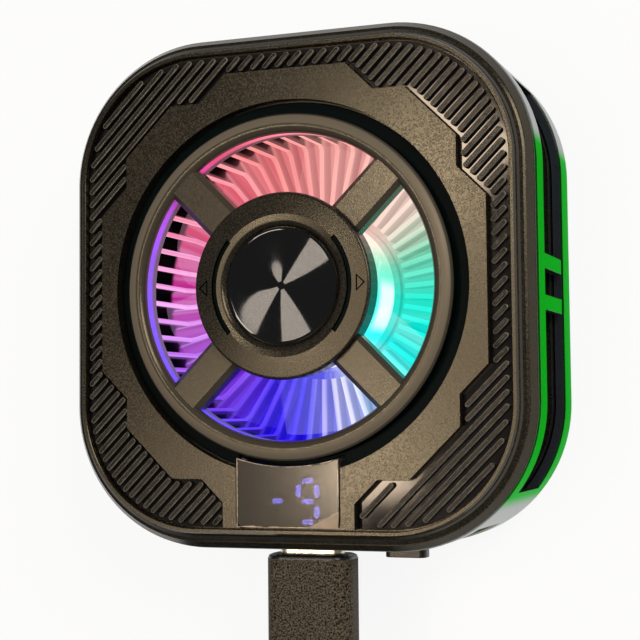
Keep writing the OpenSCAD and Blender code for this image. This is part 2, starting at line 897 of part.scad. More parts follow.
module cold_plate()
{
    color("#c9ccd0")
        rotate_extrude()
            polygon([[0, 0], [cold_r - 0.3, 0], [cold_r, 0.3], [cold_r, tray_z], [cold_r + 1.3, tray_z],
                [cold_r + 1.3, cold_z], [0, cold_z]]);
}

module insulating_gasket()
{
    color("#57575a")
        plate(cold_z, sink_z - cold_z)
            difference() {
                circle(cold_r + 0.8);
                square(peltier_w + 1, center = true);
            }
}

module peltier_cold_side()
{
    color("#f4f2ea")
        plate(cold_z, ceramic_t)
            square(peltier_w, center = true);
}

pellet_rows = 8;

module peltier_pellets()
{
    pitch = peltier_w / pellet_rows;
    color("#77736e")
        plate(pellet_z, pellet_h)
            for (i = [0:pellet_rows - 1], j = [0:pellet_rows - 1])
                translate([(i + 0.5) * pitch - peltier_w / 2, (j + 0.5) * pitch - peltier_w / 2])
                    square(pitch * 0.56, center = true);
}

module peltier_hot_side()
{
    color("#f4f2ea")
        plate(hot_z, ceramic_t)
            square(peltier_w, center = true);
}

// One fin: low under the fan, with a tall tip beside its blades, and lower again under the cover
fin_in_r = cup_r + 1.4;
crown_r = fin_step_r + crown_w;
crown_h = crown_top - base_z;
fin_shape = [[fin_in_r, -eps], [fin_r, -eps], [fin_r, fin_h - 0.4], [fin_r - 0.4, fin_h], [crown_r, fin_h],
    [crown_r, crown_h], [fin_step_r, crown_h], [fin_step_r, fin_low_h + 0.6], [fin_step_r - 0.6, fin_low_h],
    [fin_in_r, fin_low_h]];

module heat_sink()
{
    color("#b9a9ad")
        difference() {
            union() {
                plate(sink_z, sink_t)
                    circle(fin_r - 0.6);
                for (k = [0:fin_count - 1])
                    rotate((k + 0.5) * 360 / fin_count)
                        translate([0, fin_t / 2, base_z])
                            rotate([90, 0, 0])
                                linear_extrude(fin_t)
                                    polygon(fin_shape);
            }
            translate([-body_w / 2, -sink_flat - body_l, 0])
                cube([body_w, body_l, 2 * fin_top]);
        }
}

// Fan and motor

module motor_base()
{
    color("#222222") {
        plate(base_z, motor_base_t)
            circle(cup_r + 0.4);
        plate(base_z, tube_top - base_z)
            ring(tube_r + tube_wall, tube_r);
    }
}

module motor_board()
{
    color("#1f6f46")
        plate(base_z + motor_base_t, board_t)
            ring(cup_r - 0.6, tube_r + tube_wall + 0.1);
}

module bearing_sleeve()
{
    color("#b28a4a")
        plate(sleeve_z, tube_top - sleeve_z)
            ring(sleeve_r, shaft_r + shaft_gap);
}

module stator_core()
{
    bore = tube_r + tube_wall + 0.05;
    color("#6c6c70")
        plate(stator_z, stator_h)
            difference() {
                union() {
                    circle(bore + 0.8);
                    for (k = [0:pole_count - 1])
                        rotate(90 * k) {
                            translate([0, -pole_w / 2])
                                square([stator_r - 0.5, pole_w]);
                            intersection() {
                                ring(stator_r, stator_r - 0.9);
                                polygon([[0, 0], [2 * stator_r, -stator_r], [2 * stator_r, stator_r]]);
                            }
                        }
                }
                circle(bore);
            }
}

module stator_coils()
{
    inner = tube_r + tube_wall + 1;
    length = stator_r - 1.1 - inner;
    color("#b5652f")
        for (k = [0:pole_count - 1])
            rotate(90 * k)
                translate([inner, 0, stator_z + stator_h / 2])
                    difference() {
                        translate([0, -pole_w / 2 - 0.6, -stator_h / 2 - 0.6])
                            cube([length, pole_w + 1.2, stator_h + 1.2]);
                        translate([-1, -pole_w / 2 - 0.05, -stator_h / 2 - 0.05])
                            cube([length + 2, pole_w + 0.1, stator_h + 0.1]);
                    }
}

// A blade is a slice of a curved wall that leans back from its leading edge
module fan_blade()
{
    intersection() {
        translate([0, -camber_r * 0.5, blade_z - camber_r * 0.35])
            rotate([0, 90, 0])
                difference() {
                    cylinder(r = camber_r + blade_t / 2, h = blade_r + 1);
                    translate([0, 0, -1])
                        cylinder(r = camber_r - blade_t / 2, h = blade_r + 3);
                }
        plate(blade_z, blade_h)
            ring(blade_r, cup_r - 0.3);
        translate([0, -camber_r * 0.5, blade_z - 1])
            cube([2 * blade_r, 2 * camber_r, blade_h + 2]);
    }
}

module fan_rotor()
{
    color("#dcd6ee", 0.5) {
        translate([0, 0, rotor_z])
            rotate_extrude()
                polygon([[cup_r - cup_wall, 0], [cup_r, 0], [cup_r, cup_h - 0.5], [cup_r - 0.5, cup_h],
                    [shaft_r, cup_h], [shaft_r, cup_h - 2.4], [shaft_r + 1.2, cup_h - 2.4],
                    [shaft_r + 1.2, cup_h - cup_wall], [cup_r - cup_wall, cup_h - cup_wall]]);
        for (k = [0:blade_count - 1])
            rotate(k * 360 / blade_count)
                fan_blade();
    }
}

module rotor_magnet()
{
    color("#3c3c40")
        plate(rotor_z + 0.2, cup_h - magnet_short)
            ring(magnet_r, magnet_r - magnet_t);
}

module fan_shaft()
{
    color("#d4d4d8")
        plate(sleeve_z + 0.05, rotor_top - sleeve_z - 0.15)
            circle(shaft_r);
}

// Board, socket and button

module control_board()
{
    color("#174a35")
        plate(board_z, board_t)
            difference() {
                intersection() {
                    translate([-board_half, board_front])
                        square([2 * board_half, board_back - board_front]);
                    inset_outline(inner_in + fit_gap);
                }
                at_board_posts()
                    circle(screw_r + fit_gap);
                translate([board_cut_x, board_front - eps])
                    square([board_half, switch_y + plunger_l - board_front]);
            }
}

module control_chips()
{
    color("#18181b")
        plate(board_top, chip_h)
            for (chip = chips)
                translate([chip[0], board_post_y + chip[1]])
                    square([chip[2], chip_l], center = true);
}

module usb_socket()
{
    color("#c4c6ca")
        difference() {
            out_of_socket_side(socket_front + socket_l, usb_z, socket_l)
                stadium(socket_w, socket_h);
            out_of_socket_side(socket_front + socket_l - 0.6, usb_z, socket_l)
                stadium(socket_w - 2 * shell_t, socket_h - 2 * shell_t);
        }
}

module socket_tongue()
{
    color("#101012")
        out_of_socket_side(socket_front + socket_l - 0.6, usb_z, 4.4)
            square([plug_w - 2 * shell_t - 0.9, tongue_t], center = true);
}

module tact_switch()
{
    color("#c9c9cc")
        translate([button_x, switch_y, 0]) {
            translate([-switch_w / 2, plunger_l, board_top])
                cube([switch_w, board_back - switch_y - 0.8, socket_h]);
            translate([-plunger_w / 2, 0, usb_z - plunger_h / 2])
                cube([plunger_w, plunger_l + eps, plunger_h]);
        }
}

module board_screws()
{
    color("#9a9a9e")
        at_board_posts() {
            plate(board_top, board_head_h)
                difference() {
                    circle(board_head_r);
                    square([slot_l, slot_w], center = true);
                }
            plate(board_z - board_screw_l, board_screw_l + board_t + 0.1)
                circle(screw_r - 0.17);
        }
}

module power_button()
{
    color("#1c1a19") {
        out_of_socket_side(button_flange_y + eps, 0, button_flange_y - wall_y + button_out)
            button_face(0);
        translate([button_x, button_flange_y, usb_z])
            rotate([-90, 0, 0])
                linear_extrude(button_flange_t)
                    square([button_w + 2 * flange_over, button_h + 2 * flange_over], center = true);
    }
}

// Cable with its plugs

module plug_shell()
{
    shell_end = socket_front + socket_l - 0.9;
    color("#d3c7b0")
        difference() {
            out_of_socket_side(shell_end, usb_z, shell_end - plug_body_y)
                stadium(plug_w, plug_h);
            out_of_socket_side(socket_front + socket_l, usb_z, socket_l - 0.2)
                stadium(plug_w - 2 * shell_t, plug_h - 2 * shell_t);
        }
}

// A moulded grip: the full section between two slightly smaller ends
module grip(w, h, length)
{
    hull() {
        linear_extrude(length)
            rounded(w - 1, h - 1, grip_r - 0.5, $fn = 32);
        translate([0, 0, 0.5])
            linear_extrude(length - 3)
                rounded(w, h, grip_r, $fn = 32);
    }
}

// A ribbed cone that the cable leaves through
module boot()
{
    rings = 5;
    share = 0.6;
    groove = 0.35;
    taper = boot_end_r - boot_r;
    rotate_extrude()
        polygon(concat([[0, 0]],
            [for (k = [0:rings - 1], s = [0, share])
                let (along = (k + s) / rings)
                [boot_r + taper * along - (s > 0 ? groove : 0), boot_l * along]],
            [[boot_end_r - groove, boot_l], [0, boot_l]]));
}

module plug_body()
{
    color("#161616")
        translate([0, plug_body_y, usb_z])
            rotate([90, 0, 0])
                grip(plug_body_w, plug_body_h, plug_body_l);
}

module plug_boot()
{
    color("#141414")
        translate([0, plug_body_y - plug_body_l, usb_z])
            rotate([90, 0, 0])
                boot();
}

function unit(v) = v / norm(v);

// Directions along a route, at each of its points
function headings(route) = [for (i = [0:len(route) - 1])
    unit(route[min(i + 1, len(route) - 1)] - route[max(i - 1, 0)])];

// A closed tube along a route, one ring of points at each route point
module tube(route, diameter, sides)
{
    heads = headings(route);
    points = [for (i = [0:len(route) - 1])
        let (across = unit(cross(heads[i], [0, 0, 1])), over = cross(across, heads[i]))
        for (k = [0:sides - 1])
            route[i] + diameter / 2 * (cos(360 * k / sides) * across + sin(360 * k / sides) * over)];
    last = (len(route) - 1) * sides;
    walls = [for (i = [0:len(route) - 2], k = [0:sides - 1])
        let (a = i * sides + k, b = i * sides + (k + 1) % sides)
        each [[a, a + sides, b], [b, a + sides, b + sides]]];
    ends = [for (k = [1:sides - 2])
        each [[0, k, k + 1], [last, last + k + 1, last + k]]];
    polyhedron(points = points, faces = concat(walls, ends));
}

// The coil goes clockwise from the top layer, in and out again, and drops a layer round each reversal
coil_rings = coil_turns * rings_per_turn;
function fold(turns) = let (leg = floor(turns / leg_turns), part = turns / leg_turns - leg)
    leg % 2 == 0 ? part : 1 - part;
function smooth(t) = let (c = min(1, max(0, t))) c * c * (3 - 2 * c);
function drop(turns) = turn_step * (smooth((turns - leg_turns) * 2 + 0.5)
    + smooth((turns - 2 * leg_turns) * 2 + 0.5) + smooth((turns - 3 * leg_turns) * 2 + 0.5));
function coil_point(turns) =
    let (r = coil_out_r - coil_spread * fold(turns), a = -360 * turns)
    [coil_x + r * cos(a), coil_y + r * sin(a), coil_top() - drop(turns)];
coil_points = concat(
    [[0, coil_y, coil_top()], [0, coil_y - cable_d, coil_top()]],
    [for (i = [1:coil_rings - 1]) coil_point(i / rings_per_turn)],
    [[coil_x - cable_d, tail_y, coil_z], [coil_x, tail_y, coil_z]]);
coil_gap = min([for (i = [0:len(coil_points) - 1], j = [i + 12:1:len(coil_points) - 1])
    norm(coil_points[j] - coil_points[i])]) - cable_d;

module cable_lead()
{
    color("#191919")
        tube(lead_points, cable_d, 8);
}

module cable_coil()
{
    echo(coil_gap = coil_gap);
    color("#191919")
        tube(coil_points, cable_d, 6);
}

module cable_tail()
{
    color("#191919")
        tube(tail_points, cable_d, 8);
}

module cable_tie()
{
    inside = coil_spread + cable_d + 0.6;
    height = (layers - 1) * turn_step + cable_d + 0.4;
    color("#333338")
        translate([coil_x, coil_y, 0])
            rotate(tie_turn)
                translate([coil_mid_r, tie_w / 2, tie_t + height / 2])
                    rotate([90, 0, 0])
                        linear_extrude(tie_w)
                            difference() {
                                rounded(inside + 2 * tie_t, height + 2 * tie_t, 1.2);
                                rounded(inside, height, 0.8);
                            }
}

module along_tail(x)
{
    translate([x, tail_y, far_z])
        rotate([90, 0, 90])
            children();
}

module far_plug_boot()
{
    color("#141414")
        along_tail(far_x + boot_l)
            mirror([0, 0, 1])
                boot();
}

module far_plug_body()
{
    color("#161616")
        along_tail(far_x + boot_l + far_body_l)
            mirror([0, 0, 1])
                grip(far_body_w, far_body_h, far_body_l);
}

module far_plug_shell()
{
    inside_w = far_shell_w - 2 * shell_t;
    inside_h = far_shell_h - 2 * shell_t;
    color("#d3d3d6")
        along_tail(far_x + boot_l + far_body_l)
            difference() {
                linear_extrude(far_shell_l)
                    rounded(far_shell_w, far_shell_h, 0.3);
                translate([0, 0, 1])
                    linear_extrude(far_shell_l)
                        difference() {
                            rounded(inside_w, inside_h, 0.2);
                            translate([-inside_w / 2, -inside_h / 2])
                                square([inside_w, inside_h / 2]);
                        }
            }
}

front_cover();
ribbed_inlay();
face_panel();
fan_grille();
hub_badge();
display_window();
display_segments();
display_module();
light_ring();
led_board();
led_chips();
side_frame();
rear_cover();
contact_pad();
cold_plate();
magnet_ring();
insulating_gasket();
peltier_cold_side();
peltier_pellets();
peltier_hot_side();
heat_sink();
motor_base();
motor_board();
bearing_sleeve();
stator_core();
stator_coils();
fan_rotor();
rotor_magnet();
fan_shaft();
control_board();
control_chips();
usb_socket();
socket_tongue();
tact_switch();
power_button();
housing_screws();
board_screws();
plug_shell();
plug_body();
plug_boot();
cable_lead();
cable_coil();
cable_tail();
cable_tie();
far_plug_boot();
far_plug_body();
far_plug_shell();
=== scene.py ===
import math

import bpy
from mathutils import Matrix, Vector


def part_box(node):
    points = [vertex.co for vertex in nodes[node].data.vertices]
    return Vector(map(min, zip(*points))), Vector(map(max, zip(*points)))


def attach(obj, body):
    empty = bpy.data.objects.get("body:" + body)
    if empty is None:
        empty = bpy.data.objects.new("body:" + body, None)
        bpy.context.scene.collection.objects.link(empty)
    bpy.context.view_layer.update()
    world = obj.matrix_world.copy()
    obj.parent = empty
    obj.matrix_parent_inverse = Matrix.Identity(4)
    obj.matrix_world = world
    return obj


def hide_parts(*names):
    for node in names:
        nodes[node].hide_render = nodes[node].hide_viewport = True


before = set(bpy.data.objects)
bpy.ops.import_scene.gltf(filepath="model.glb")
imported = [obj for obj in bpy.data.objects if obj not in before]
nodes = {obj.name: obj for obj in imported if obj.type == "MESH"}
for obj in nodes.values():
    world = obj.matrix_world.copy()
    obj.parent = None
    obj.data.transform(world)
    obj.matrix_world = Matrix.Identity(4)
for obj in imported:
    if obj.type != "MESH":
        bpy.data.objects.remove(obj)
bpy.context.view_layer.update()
scene = bpy.context.scene
scene.view_settings.view_transform = "Standard"
mm = 0.001
print("frame loaded:", len(nodes), "nodes")


# shader values that add and multiply like numbers
def feed(socket, value):
    if isinstance(value, Wire):
        socket.id_data.links.new(value.socket, socket)
    elif socket.type == "RGBA" and len(value) == 3:
        socket.default_value = (*value, 1.0)
    else:
        socket.default_value = value


class Wire:
    def __init__(self, socket):
        self.socket = socket

    def make(self, kind, settings=None, inputs=None, output=0):
        node = self.socket.id_data.nodes.new("ShaderNode" + kind)
        for key, value in (settings or {}).items():
            if key == "stops":
                first, *between, last = value
                for element, (position, colour) in zip(node.color_ramp.elements, (first, last)):
                    element.position = position
                    element.color = (*colour, 1.0)
                for position, colour in between:
                    node.color_ramp.elements.new(position).color = (*colour, 1.0)
            else:
                setattr(node, key, value)
        for key, value in (inputs or {}).items():
            feed(node.inputs[key], value)
        return Wire(node.outputs[output])

    def maths(self, operation, first, second=0.0):
        return self.make("Math", {"operation": operation}, {0: first, 1: second})

    def __add__(self, other):
        return self.maths("ADD", self, other)

    def __radd__(self, other):
        return self.maths("ADD", other, self)

    def __sub__(self, other):
        return self.maths("SUBTRACT", self, other)

    def __rsub__(self, other):
        return self.maths("SUBTRACT", other, self)

    def __mul__(self, other):
        return self.maths("MULTIPLY", self, other)

    def __rmul__(self, other):
        return self.maths("MULTIPLY", other, self)

    def __truediv__(self, other):
        return self.maths("DIVIDE", self, other)


# a few nodes that every finish uses
def axis(place, letter):
    return place.make("SeparateXYZ", inputs={0: place}, output=letter)


def inMm(place):
    return place.make("VectorMath", {"operation": "SCALE"}, {0: place, "Scale": 1000.0})


def stretched(place, factors):
    return place.make("VectorMath", {"operation": "MULTIPLY"}, {0: place, 1: factors})


def roundPlace(place):  # distance from the fan's axis and height in mm, and the share of a turn from -X
    spot = inMm(place)
    x, y = axis(spot, "X"), axis(spot, "Y")
    reach = x.maths("SQRT", x * x + y * y)
    turn = x.maths("ARCTAN2", y, x) / (2 * math.pi) + 0.5
    return reach, turn, axis(spot, "Z")


def fade(value, low, high):  # 0 at low, 1 at high, smooth between
    settings = {"interpolation_type": "SMOOTHSTEP"}
    return value.make("MapRange", settings, {"Value": value, "From Min": low, "From Max": high})


def tint(factor, first, second):
    return factor.make("Mix", {"data_type": "RGBA"}, {0: factor, 6: first, 7: second}, 2)


def speckle(place, scale, detail=3.0, rough=0.55):
    inputs = {"Vector": place, "Scale": scale, "Detail": detail, "Roughness": rough}
    return place.make("TexNoise", inputs=inputs)


def relief(height, depth):
    return height.make("Bump", inputs={"Height": height, "Distance": depth, "Strength": 1.0})


def asSeen(red, green, blue):  # a colour given as it looks on a screen, 0 to 255
    return tuple(((c / 255 + 0.055) / 1.055) ** 2.4 if c > 10 else c / 3295 for c in (red, green, blue))


def startFinish(name):
    material = bpy.data.materials.new(name)
    material.use_nodes = True
    tree = material.node_tree
    place = Wire(tree.nodes.new("ShaderNodeTexCoord").outputs["Object"])
    return material, tree.nodes["Principled BSDF"], place


def setShader(shader, values):
    for key, value in values.items():
        feed(shader.inputs[key], value)


def showMixed(material, factor, first, second):
    tree = material.node_tree
    mixed = factor.make("MixShader", inputs={0: factor, 1: first, 2: second})
    tree.links.new(mixed.socket, tree.nodes["Material Output"].inputs["Surface"])


# grained finish: mottled colour, fine grain in the gloss and the surface
def grainLayers(place, look):
    spot = stretched(place, look.get("stretch", (1.0, 1.0, 1.0)))
    mottle = speckle(place, look["mottle"])
    grain = speckle(spot, look["grain"], 2.0, 0.6)
    share, spread = look.get("share", 0.45), look.get("spread", 0.2)
    fleck = fade(mottle * (1 - share) + grain * share, 0.5 - spread, 0.5 + spread)
    low, high = look["gloss"]
    return tint(fleck, look["dark"], look["light"]), low + (high - low) * fleck, grain


def grained(name, look):
    material, shader, place = startFinish(name)
    colour, gloss, grain = grainLayers(place, look)
    setShader(shader, {
        "Base Color": colour,
        "Roughness": gloss,
        "Metallic": look.get("metal", 0.0),
        "Specular Tint": look.get("sheen", (1.0, 1.0, 1.0)),
        "Specular IOR Level": look.get("shine", 0.5),
        "IOR": look.get("bending", 1.5),
        "Coat Weight": look.get("coat", 0.0),
        "Normal": relief(grain, look["relief"] * mm),
    })
    return material


def dress(material, *names):
    for name in names:
        for slot in nodes[name].material_slots:
            slot.material = material


# picking and finishing pieces
smoothAngle = math.radians(35)
flatAngle = math.radians(0.5)
weldGap = 0.002 * mm


def pickOnly(piece):
    bpy.ops.object.select_all(action="DESELECT")
    piece.select_set(True)
    bpy.context.view_layer.objects.active = piece


def pickParts(piece, kind, test):  # ends in edit mode, with the faces or edges that pass the test picked
    pickOnly(piece)
    bpy.ops.object.mode_set(mode="EDIT")
    bpy.ops.mesh.select_mode(type=kind)
    bpy.ops.mesh.select_all(action="DESELECT")
    bpy.ops.object.mode_set(mode="OBJECT")
    spots = piece.data.vertices
    for part in piece.data.polygons if kind == "FACE" else piece.data.edges:
        part.select = test([spots[i].co for i in part.vertices])
    bpy.ops.object.mode_set(mode="EDIT")


def shape(piece, kind, settings):
    modifier = piece.modifiers.new(kind.lower(), kind)
    for key, value in settings.items():
        setattr(modifier, key, value)
    pickOnly(piece)
    bpy.ops.object.modifier_apply(modifier=modifier.name)


def smoothOut(piece):
    pickOnly(piece)
    bpy.ops.object.shade_smooth_by_angle(angle=smoothAngle)
    shape(piece, "WEIGHTED_NORMAL", {"keep_sharp": True})


def coat(piece, *materials):
    piece.data.materials.clear()
    for material in materials:
        piece.data.materials.append(material)


def settle(piece, body, slotName, *stands):
    pickOnly(piece)
    bpy.ops.object.transform_apply(location=True, rotation=True, scale=True)
    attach(piece, body)
    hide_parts(*stands)
    return piece


# a housing piece with its edges broken, as moulded or cut; the last material goes on the broken edges
def softened(name, node, look, *materials):
    piece = bpy.data.objects.new(name, nodes[node].data.copy())
    piece.data.name = name
    scene.collection.objects.link(piece)
    coat(piece, *materials)
    pickOnly(piece)
    bpy.ops.mesh.customdata_custom_splitnormals_clear()
    bpy.ops.object.mode_set(mode="EDIT")
    bpy.ops.mesh.select_all(action="SELECT")
    bpy.ops.mesh.remove_doubles(threshold=weldGap)
    bpy.ops.mesh.dissolve_limited(angle_limit=flatAngle)
    bpy.ops.object.mode_set(mode="OBJECT")
    for test, width in look.get("picked", []):  # only the edges that pass a test
        pickParts(piece, "EDGE", test)
        bpy.ops.mesh.bevel(
            offset=width * mm, segments=look["steps"], affect="EDGES", clamp_overlap=False,
            material=len(materials) - 1)
        bpy.ops.object.mode_set(mode="OBJECT")
    for test, slot in look.get("painted", []):  # faces that take another of the materials
        pickParts(piece, "FACE", test)
        piece.active_material_index = slot
        bpy.ops.object.material_slot_assign()
        bpy.ops.object.mode_set(mode="OBJECT")
    if "angle" in look:
        shape(piece, "BEVEL", {
            "width": look["edge"] * mm, "segments": look["steps"], "limit_method": "ANGLE",
            "angle_limit": math.radians(look["angle"]), "material": len(materials) - 1,
        })
    smoothOut(piece)
    return settle(piece, look["body"], look["slot"], node)


# camera at the photograph's angle, fitted to the circles and edges of the face
photoCamera = {
    "place": (65.36, -14.85, 188.08),
    "ahead": (-0.34709, 0.06096, -0.93585),
    "right": (0.93733, -0.01009, -0.34830),
    "lens": 84.37,
    "sensor": 36.0,
    "clipStart": 0.01,
}


def placeCamera(look):
    back = -Vector(look["ahead"]).normalized()
    up = back.cross(Vector(look["right"])).normalized()
    turn = Matrix((up.cross(back), up, back)).transposed().to_4x4()
    bpy.ops.object.camera_add()
    camera = bpy.context.object
    camera.name = "photoCamera"
    camera.matrix_world = Matrix.Translation(Vector(look["place"]) * mm) @ turn
    camera.data.lens = look["lens"]
    camera.data.sensor_width = look["sensor"]
    camera.data.clip_start = look["clipStart"]
    scene.camera = camera


placeCamera(photoCamera)
print("camera placed")

# light: soft warm panels above and in front of the face, two small bright strips,
# a fill from the right, a dim room
warm, strip, pale = (1.0, 0.86, 0.73), (1.0, 0.88, 0.76), (1.0, 0.93, 0.86)
studio = {
    "panels": [
        {"name": "softPanel", "place": (40, 104, 590), "size": (167, 100), "power": 0.124, "colour": warm},
        {"name": "lowPanel", "place": (-117, -83, 582), "size": (286, 336), "power": 0.88, "colour": warm},
        {"name": "farStrip", "place": (-141, 108, 573), "size": (70, 60), "power": 0.25, "colour": strip},
        {"name": "nearStrip", "place": (-186, -41, 569), "size": (42, 66), "power": 0.165, "colour": strip},
        {"name": "fill", "place": (385, 245, 530), "size": (300, 300), "power": 2.5, "colour": pale},
    ],
    "roomColour": (0.94, 0.97, 1.0),
    "roomPower": 0.22,
}
paper = {
    "size": 4.0,
    "below": 0.05,
    "dark": (0.86, 0.86, 0.86),
    "light": (0.90, 0.90, 0.90),
    "grain": 900.0,
    "gloss": 0.9,
    "glow": 0.9,  # share of the floor that reads as white paper
}


def lightStudio(look):
    for panel in look["panels"]:
        place = Vector(panel["place"]) * mm
        bpy.ops.object.light_add(type="AREA", location=place)
        lamp = bpy.context.object
        lamp.name = panel["name"]
        lamp.rotation_euler = place.to_track_quat("Z", "Y").to_euler()
        lamp.data.shape = "RECTANGLE"
        lamp.data.size = panel["size"][0] * mm
        lamp.data.size_y = panel["size"][1] * mm
        lamp.data.energy = panel["power"]
        lamp.data.color = panel["colour"]
    world = bpy.data.worlds.new("room")
    scene.world = world
    world.use_nodes = True
    room = world.node_tree.nodes["Background"]
    room.inputs["Color"].default_value = (*look["roomColour"], 1.0)
    room.inputs["Strength"].default_value = look["roomPower"]


def layFloor(look):
    bpy.ops.mesh.primitive_plane_add(size=look["size"], location=(0, 0, -look["below"] * mm))
    floor = bpy.context.object
    floor.name = "floor"
    material, shader, place = startFinish("palePaper")
    fibres = speckle(place, look["grain"])
    setShader(shader, {"Base Color": tint(fibres, look["dark"], look["light"]), "Roughness": look["gloss"]})
    ray = material.node_tree.nodes.new("ShaderNodeLightPath").outputs
    seen = Wire(ray["Is Camera Ray"]) + Wire(ray["Is Glossy Ray"]) + Wire(ray["Is Transmission Ray"])
    white = place.make("Emission", inputs={"Color": (1.0, 1.0, 1.0), "Strength": 1.0})
    factor = seen.maths("MINIMUM", seen, 1.0) * look["glow"]
    showMixed(material, factor, Wire(shader.outputs[0]), white)
    floor.data.materials.append(material)


lightStudio(studio)
layFloor(paper)
print("studio lit")


# plain finishes
satin = {
    "dark": (0.001, 0.0009, 0.0007), "light": (0.020, 0.0168, 0.0126), "mottle": 240.0, "grain": 5000.0,
    "share": 0.85, "spread": 0.19, "gloss": (0.145, 0.275), "relief": 0.008, "sheen": (1.0, 0.86, 0.60),
}
charcoal = grained("satinCharcoal", satin)
brokenEdge = grained("polishedEdge", {**satin, "gloss": (0.10, 0.17), "relief": 0.004})
buttonBlack = grained("buttonBlack", {
    "dark": (0.008, 0.0062, 0.0048), "light": (0.018, 0.0142, 0.0108), "mottle": 300.0, "grain": 3600.0,
    "gloss": (0.24, 0.36), "relief": 0.006, "sheen": (1.0, 0.86, 0.72),
})
# pale colour on the rounded crests of the ribs: a painted highlight where they catch the light
ribEdgeHighlight = grained("paintedRibEdgeHighlight", {
    "dark": (0.05, 0.046, 0.034), "light": (0.22, 0.20, 0.15), "mottle": 700.0, "grain": 3600.0,
    "gloss": (0.16, 0.28), "relief": 0.004, "sheen": (1.0, 0.9, 0.74),
})
plugRubber = grained("plugGrain", {
    "dark": (0.0008, 0.0008, 0.0007), "light": (0.13, 0.11, 0.078), "mottle": 2600.0, "grain": 4600.0,
    "share": 0.8, "spread": 0.14, "gloss": (0.30, 0.60), "relief": 0.05, "sheen": (1.0, 0.86, 0.66),
    "bending": 1.12,
})
collarBlack = grained("collarBlack", {
    "dark": (0.004, 0.004, 0.004), "light": (0.008, 0.008, 0.008), "mottle": 300.0, "grain": 4200.0,
    "gloss": (0.22, 0.34), "relief": 0.004,
})
jacket = grained("cableJacket", {
    "dark": (0.008, 0.008, 0.008), "light": (0.016, 0.016, 0.017), "mottle": 200.0, "grain": 4200.0,
    "gloss": (0.42, 0.56), "relief": 0.02,
})
silicone = grained("softSilicone", {
    "dark": (0.020, 0.020, 0.022), "light": (0.034, 0.034, 0.036), "mottle": 160.0, "grain": 3800.0,
    "gloss": (0.55, 0.70), "relief": 0.015,
})
shellMetal = grained("drawnShell", {
    "dark": (0.62, 0.52, 0.36), "light": (0.86, 0.78, 0.62), "mottle": 300.0, "grain": 2600.0,
    "stretch": (1.0, 0.05, 1.0), "gloss": (0.16, 0.30), "relief": 0.002, "metal": 1.0,
})
platedSteel = grained("platedSteel", {
    "dark": (0.42, 0.42, 0.43), "light": (0.62, 0.62, 0.63), "mottle": 260.0, "grain": 2600.0,
    "stretch": (1.0, 0.08, 1.0), "gloss": (0.22, 0.40), "relief": 0.003, "metal": 1.0,
})
platedMagnet = grained("platedMagnet", {
    "dark": (0.36, 0.36, 0.37), "light": (0.50, 0.50, 0.50), "mottle": 180.0, "grain": 3000.0,
    "gloss": (0.25, 0.45), "relief": 0.004, "metal": 1.0,
})
sinteredBrass = grained("sinteredBrass", {
    "dark": (0.42, 0.28, 0.10), "light": (0.62, 0.45, 0.20), "mottle": 500.0, "grain": 6000.0,
    "gloss": (0.38, 0.58), "relief": 0.01, "metal": 1.0,
})
firedCeramic = grained("firedCeramic", {
    "dark": (0.72, 0.70, 0.64), "light": (0.84, 0.82, 0.77), "mottle": 220.0, "grain": 4600.0,
    "gloss": (0.42, 0.60), "relief": 0.005,
})
sawnPellet = grained("sawnPellet", {
    "dark": (0.16, 0.15, 0.14), "light": (0.34, 0.32, 0.30), "mottle": 900.0, "grain": 5200.0,
    "stretch": (1.0, 1.0, 0.1), "gloss": (0.35, 0.60), "relief": 0.01, "metal": 0.8,
})
mouldedBlack = grained("mouldedBlack", {
    "dark": (0.010, 0.010, 0.011), "light": (0.020, 0.020, 0.022), "mottle": 400.0, "grain": 4200.0,
    "gloss": (0.40, 0.58), "relief": 0.012,
})
lightChip = grained("phosphorChip", {
    "dark": (0.82, 0.70, 0.34), "light": (0.95, 0.86, 0.55), "mottle": 900.0, "grain": 5200.0,
    "gloss": (0.20, 0.40), "relief": 0.004, "coat": 0.4,
})


# the bed between the ribs is polished, the ribs a little less
ribLook = {
    "bedTop": 22.15, "ribTop": 22.5, "crest": 22.8, "crestEdge": 0.13,
    "bedColour": (0.006, 0.0042, 0.0052), "ribColour": (0.008, 0.0064, 0.0054),
    "bedGloss": 0.06, "ribGloss": 0.26, "wornGloss": 0.03, "grain": 5200.0, "relief": 0.02,
    "wear": 320.0, "wearSpan": (0.35, 0.7), "wornShare": 0.4, "sheen": (1.0, 0.88, 0.74),
}


def makeRibFinish(look):
    material, shader, place = startFinish("ribbedBlack")
    grain = speckle(place, look["grain"], 2.0, 0.6)
    onRib = fade(axis(inMm(place), "Z"), look["bedTop"], look["ribTop"])
    wear = fade(speckle(place, look["wear"]), *look["wearSpan"])
    worn = 1 - look["wornShare"] + look["wornShare"] * wear
    bedGloss = look["bedGloss"] + look["wornGloss"] * wear
    setShader(shader, {
        "Base Color": tint(onRib * worn, look["bedColour"], look["ribColour"]),
        "Roughness": bedGloss + (look["ribGloss"] - look["bedGloss"]) * onRib,
        "Specular Tint": look["sheen"],
        "Normal": relief(grain * onRib, look["relief"] * mm),
    })
    return material


# circuit boards: solder mask with copper tracks under it and bare pads
boardLook = {
    "mask": (0.012, 0.075, 0.040), "track": (0.030, 0.15, 0.075), "pad": (0.62, 0.52, 0.30),
    "pitch": 900.0, "trackStray": 0.6, "trackEdge": (0.55, 0.62), "padStray": 0.3, "padEdge": (0.16, 0.20),
    "gloss": 0.34, "padGloss": 0.1, "hazeGloss": 0.1, "haze": 3000.0, "relief": 0.02,
}


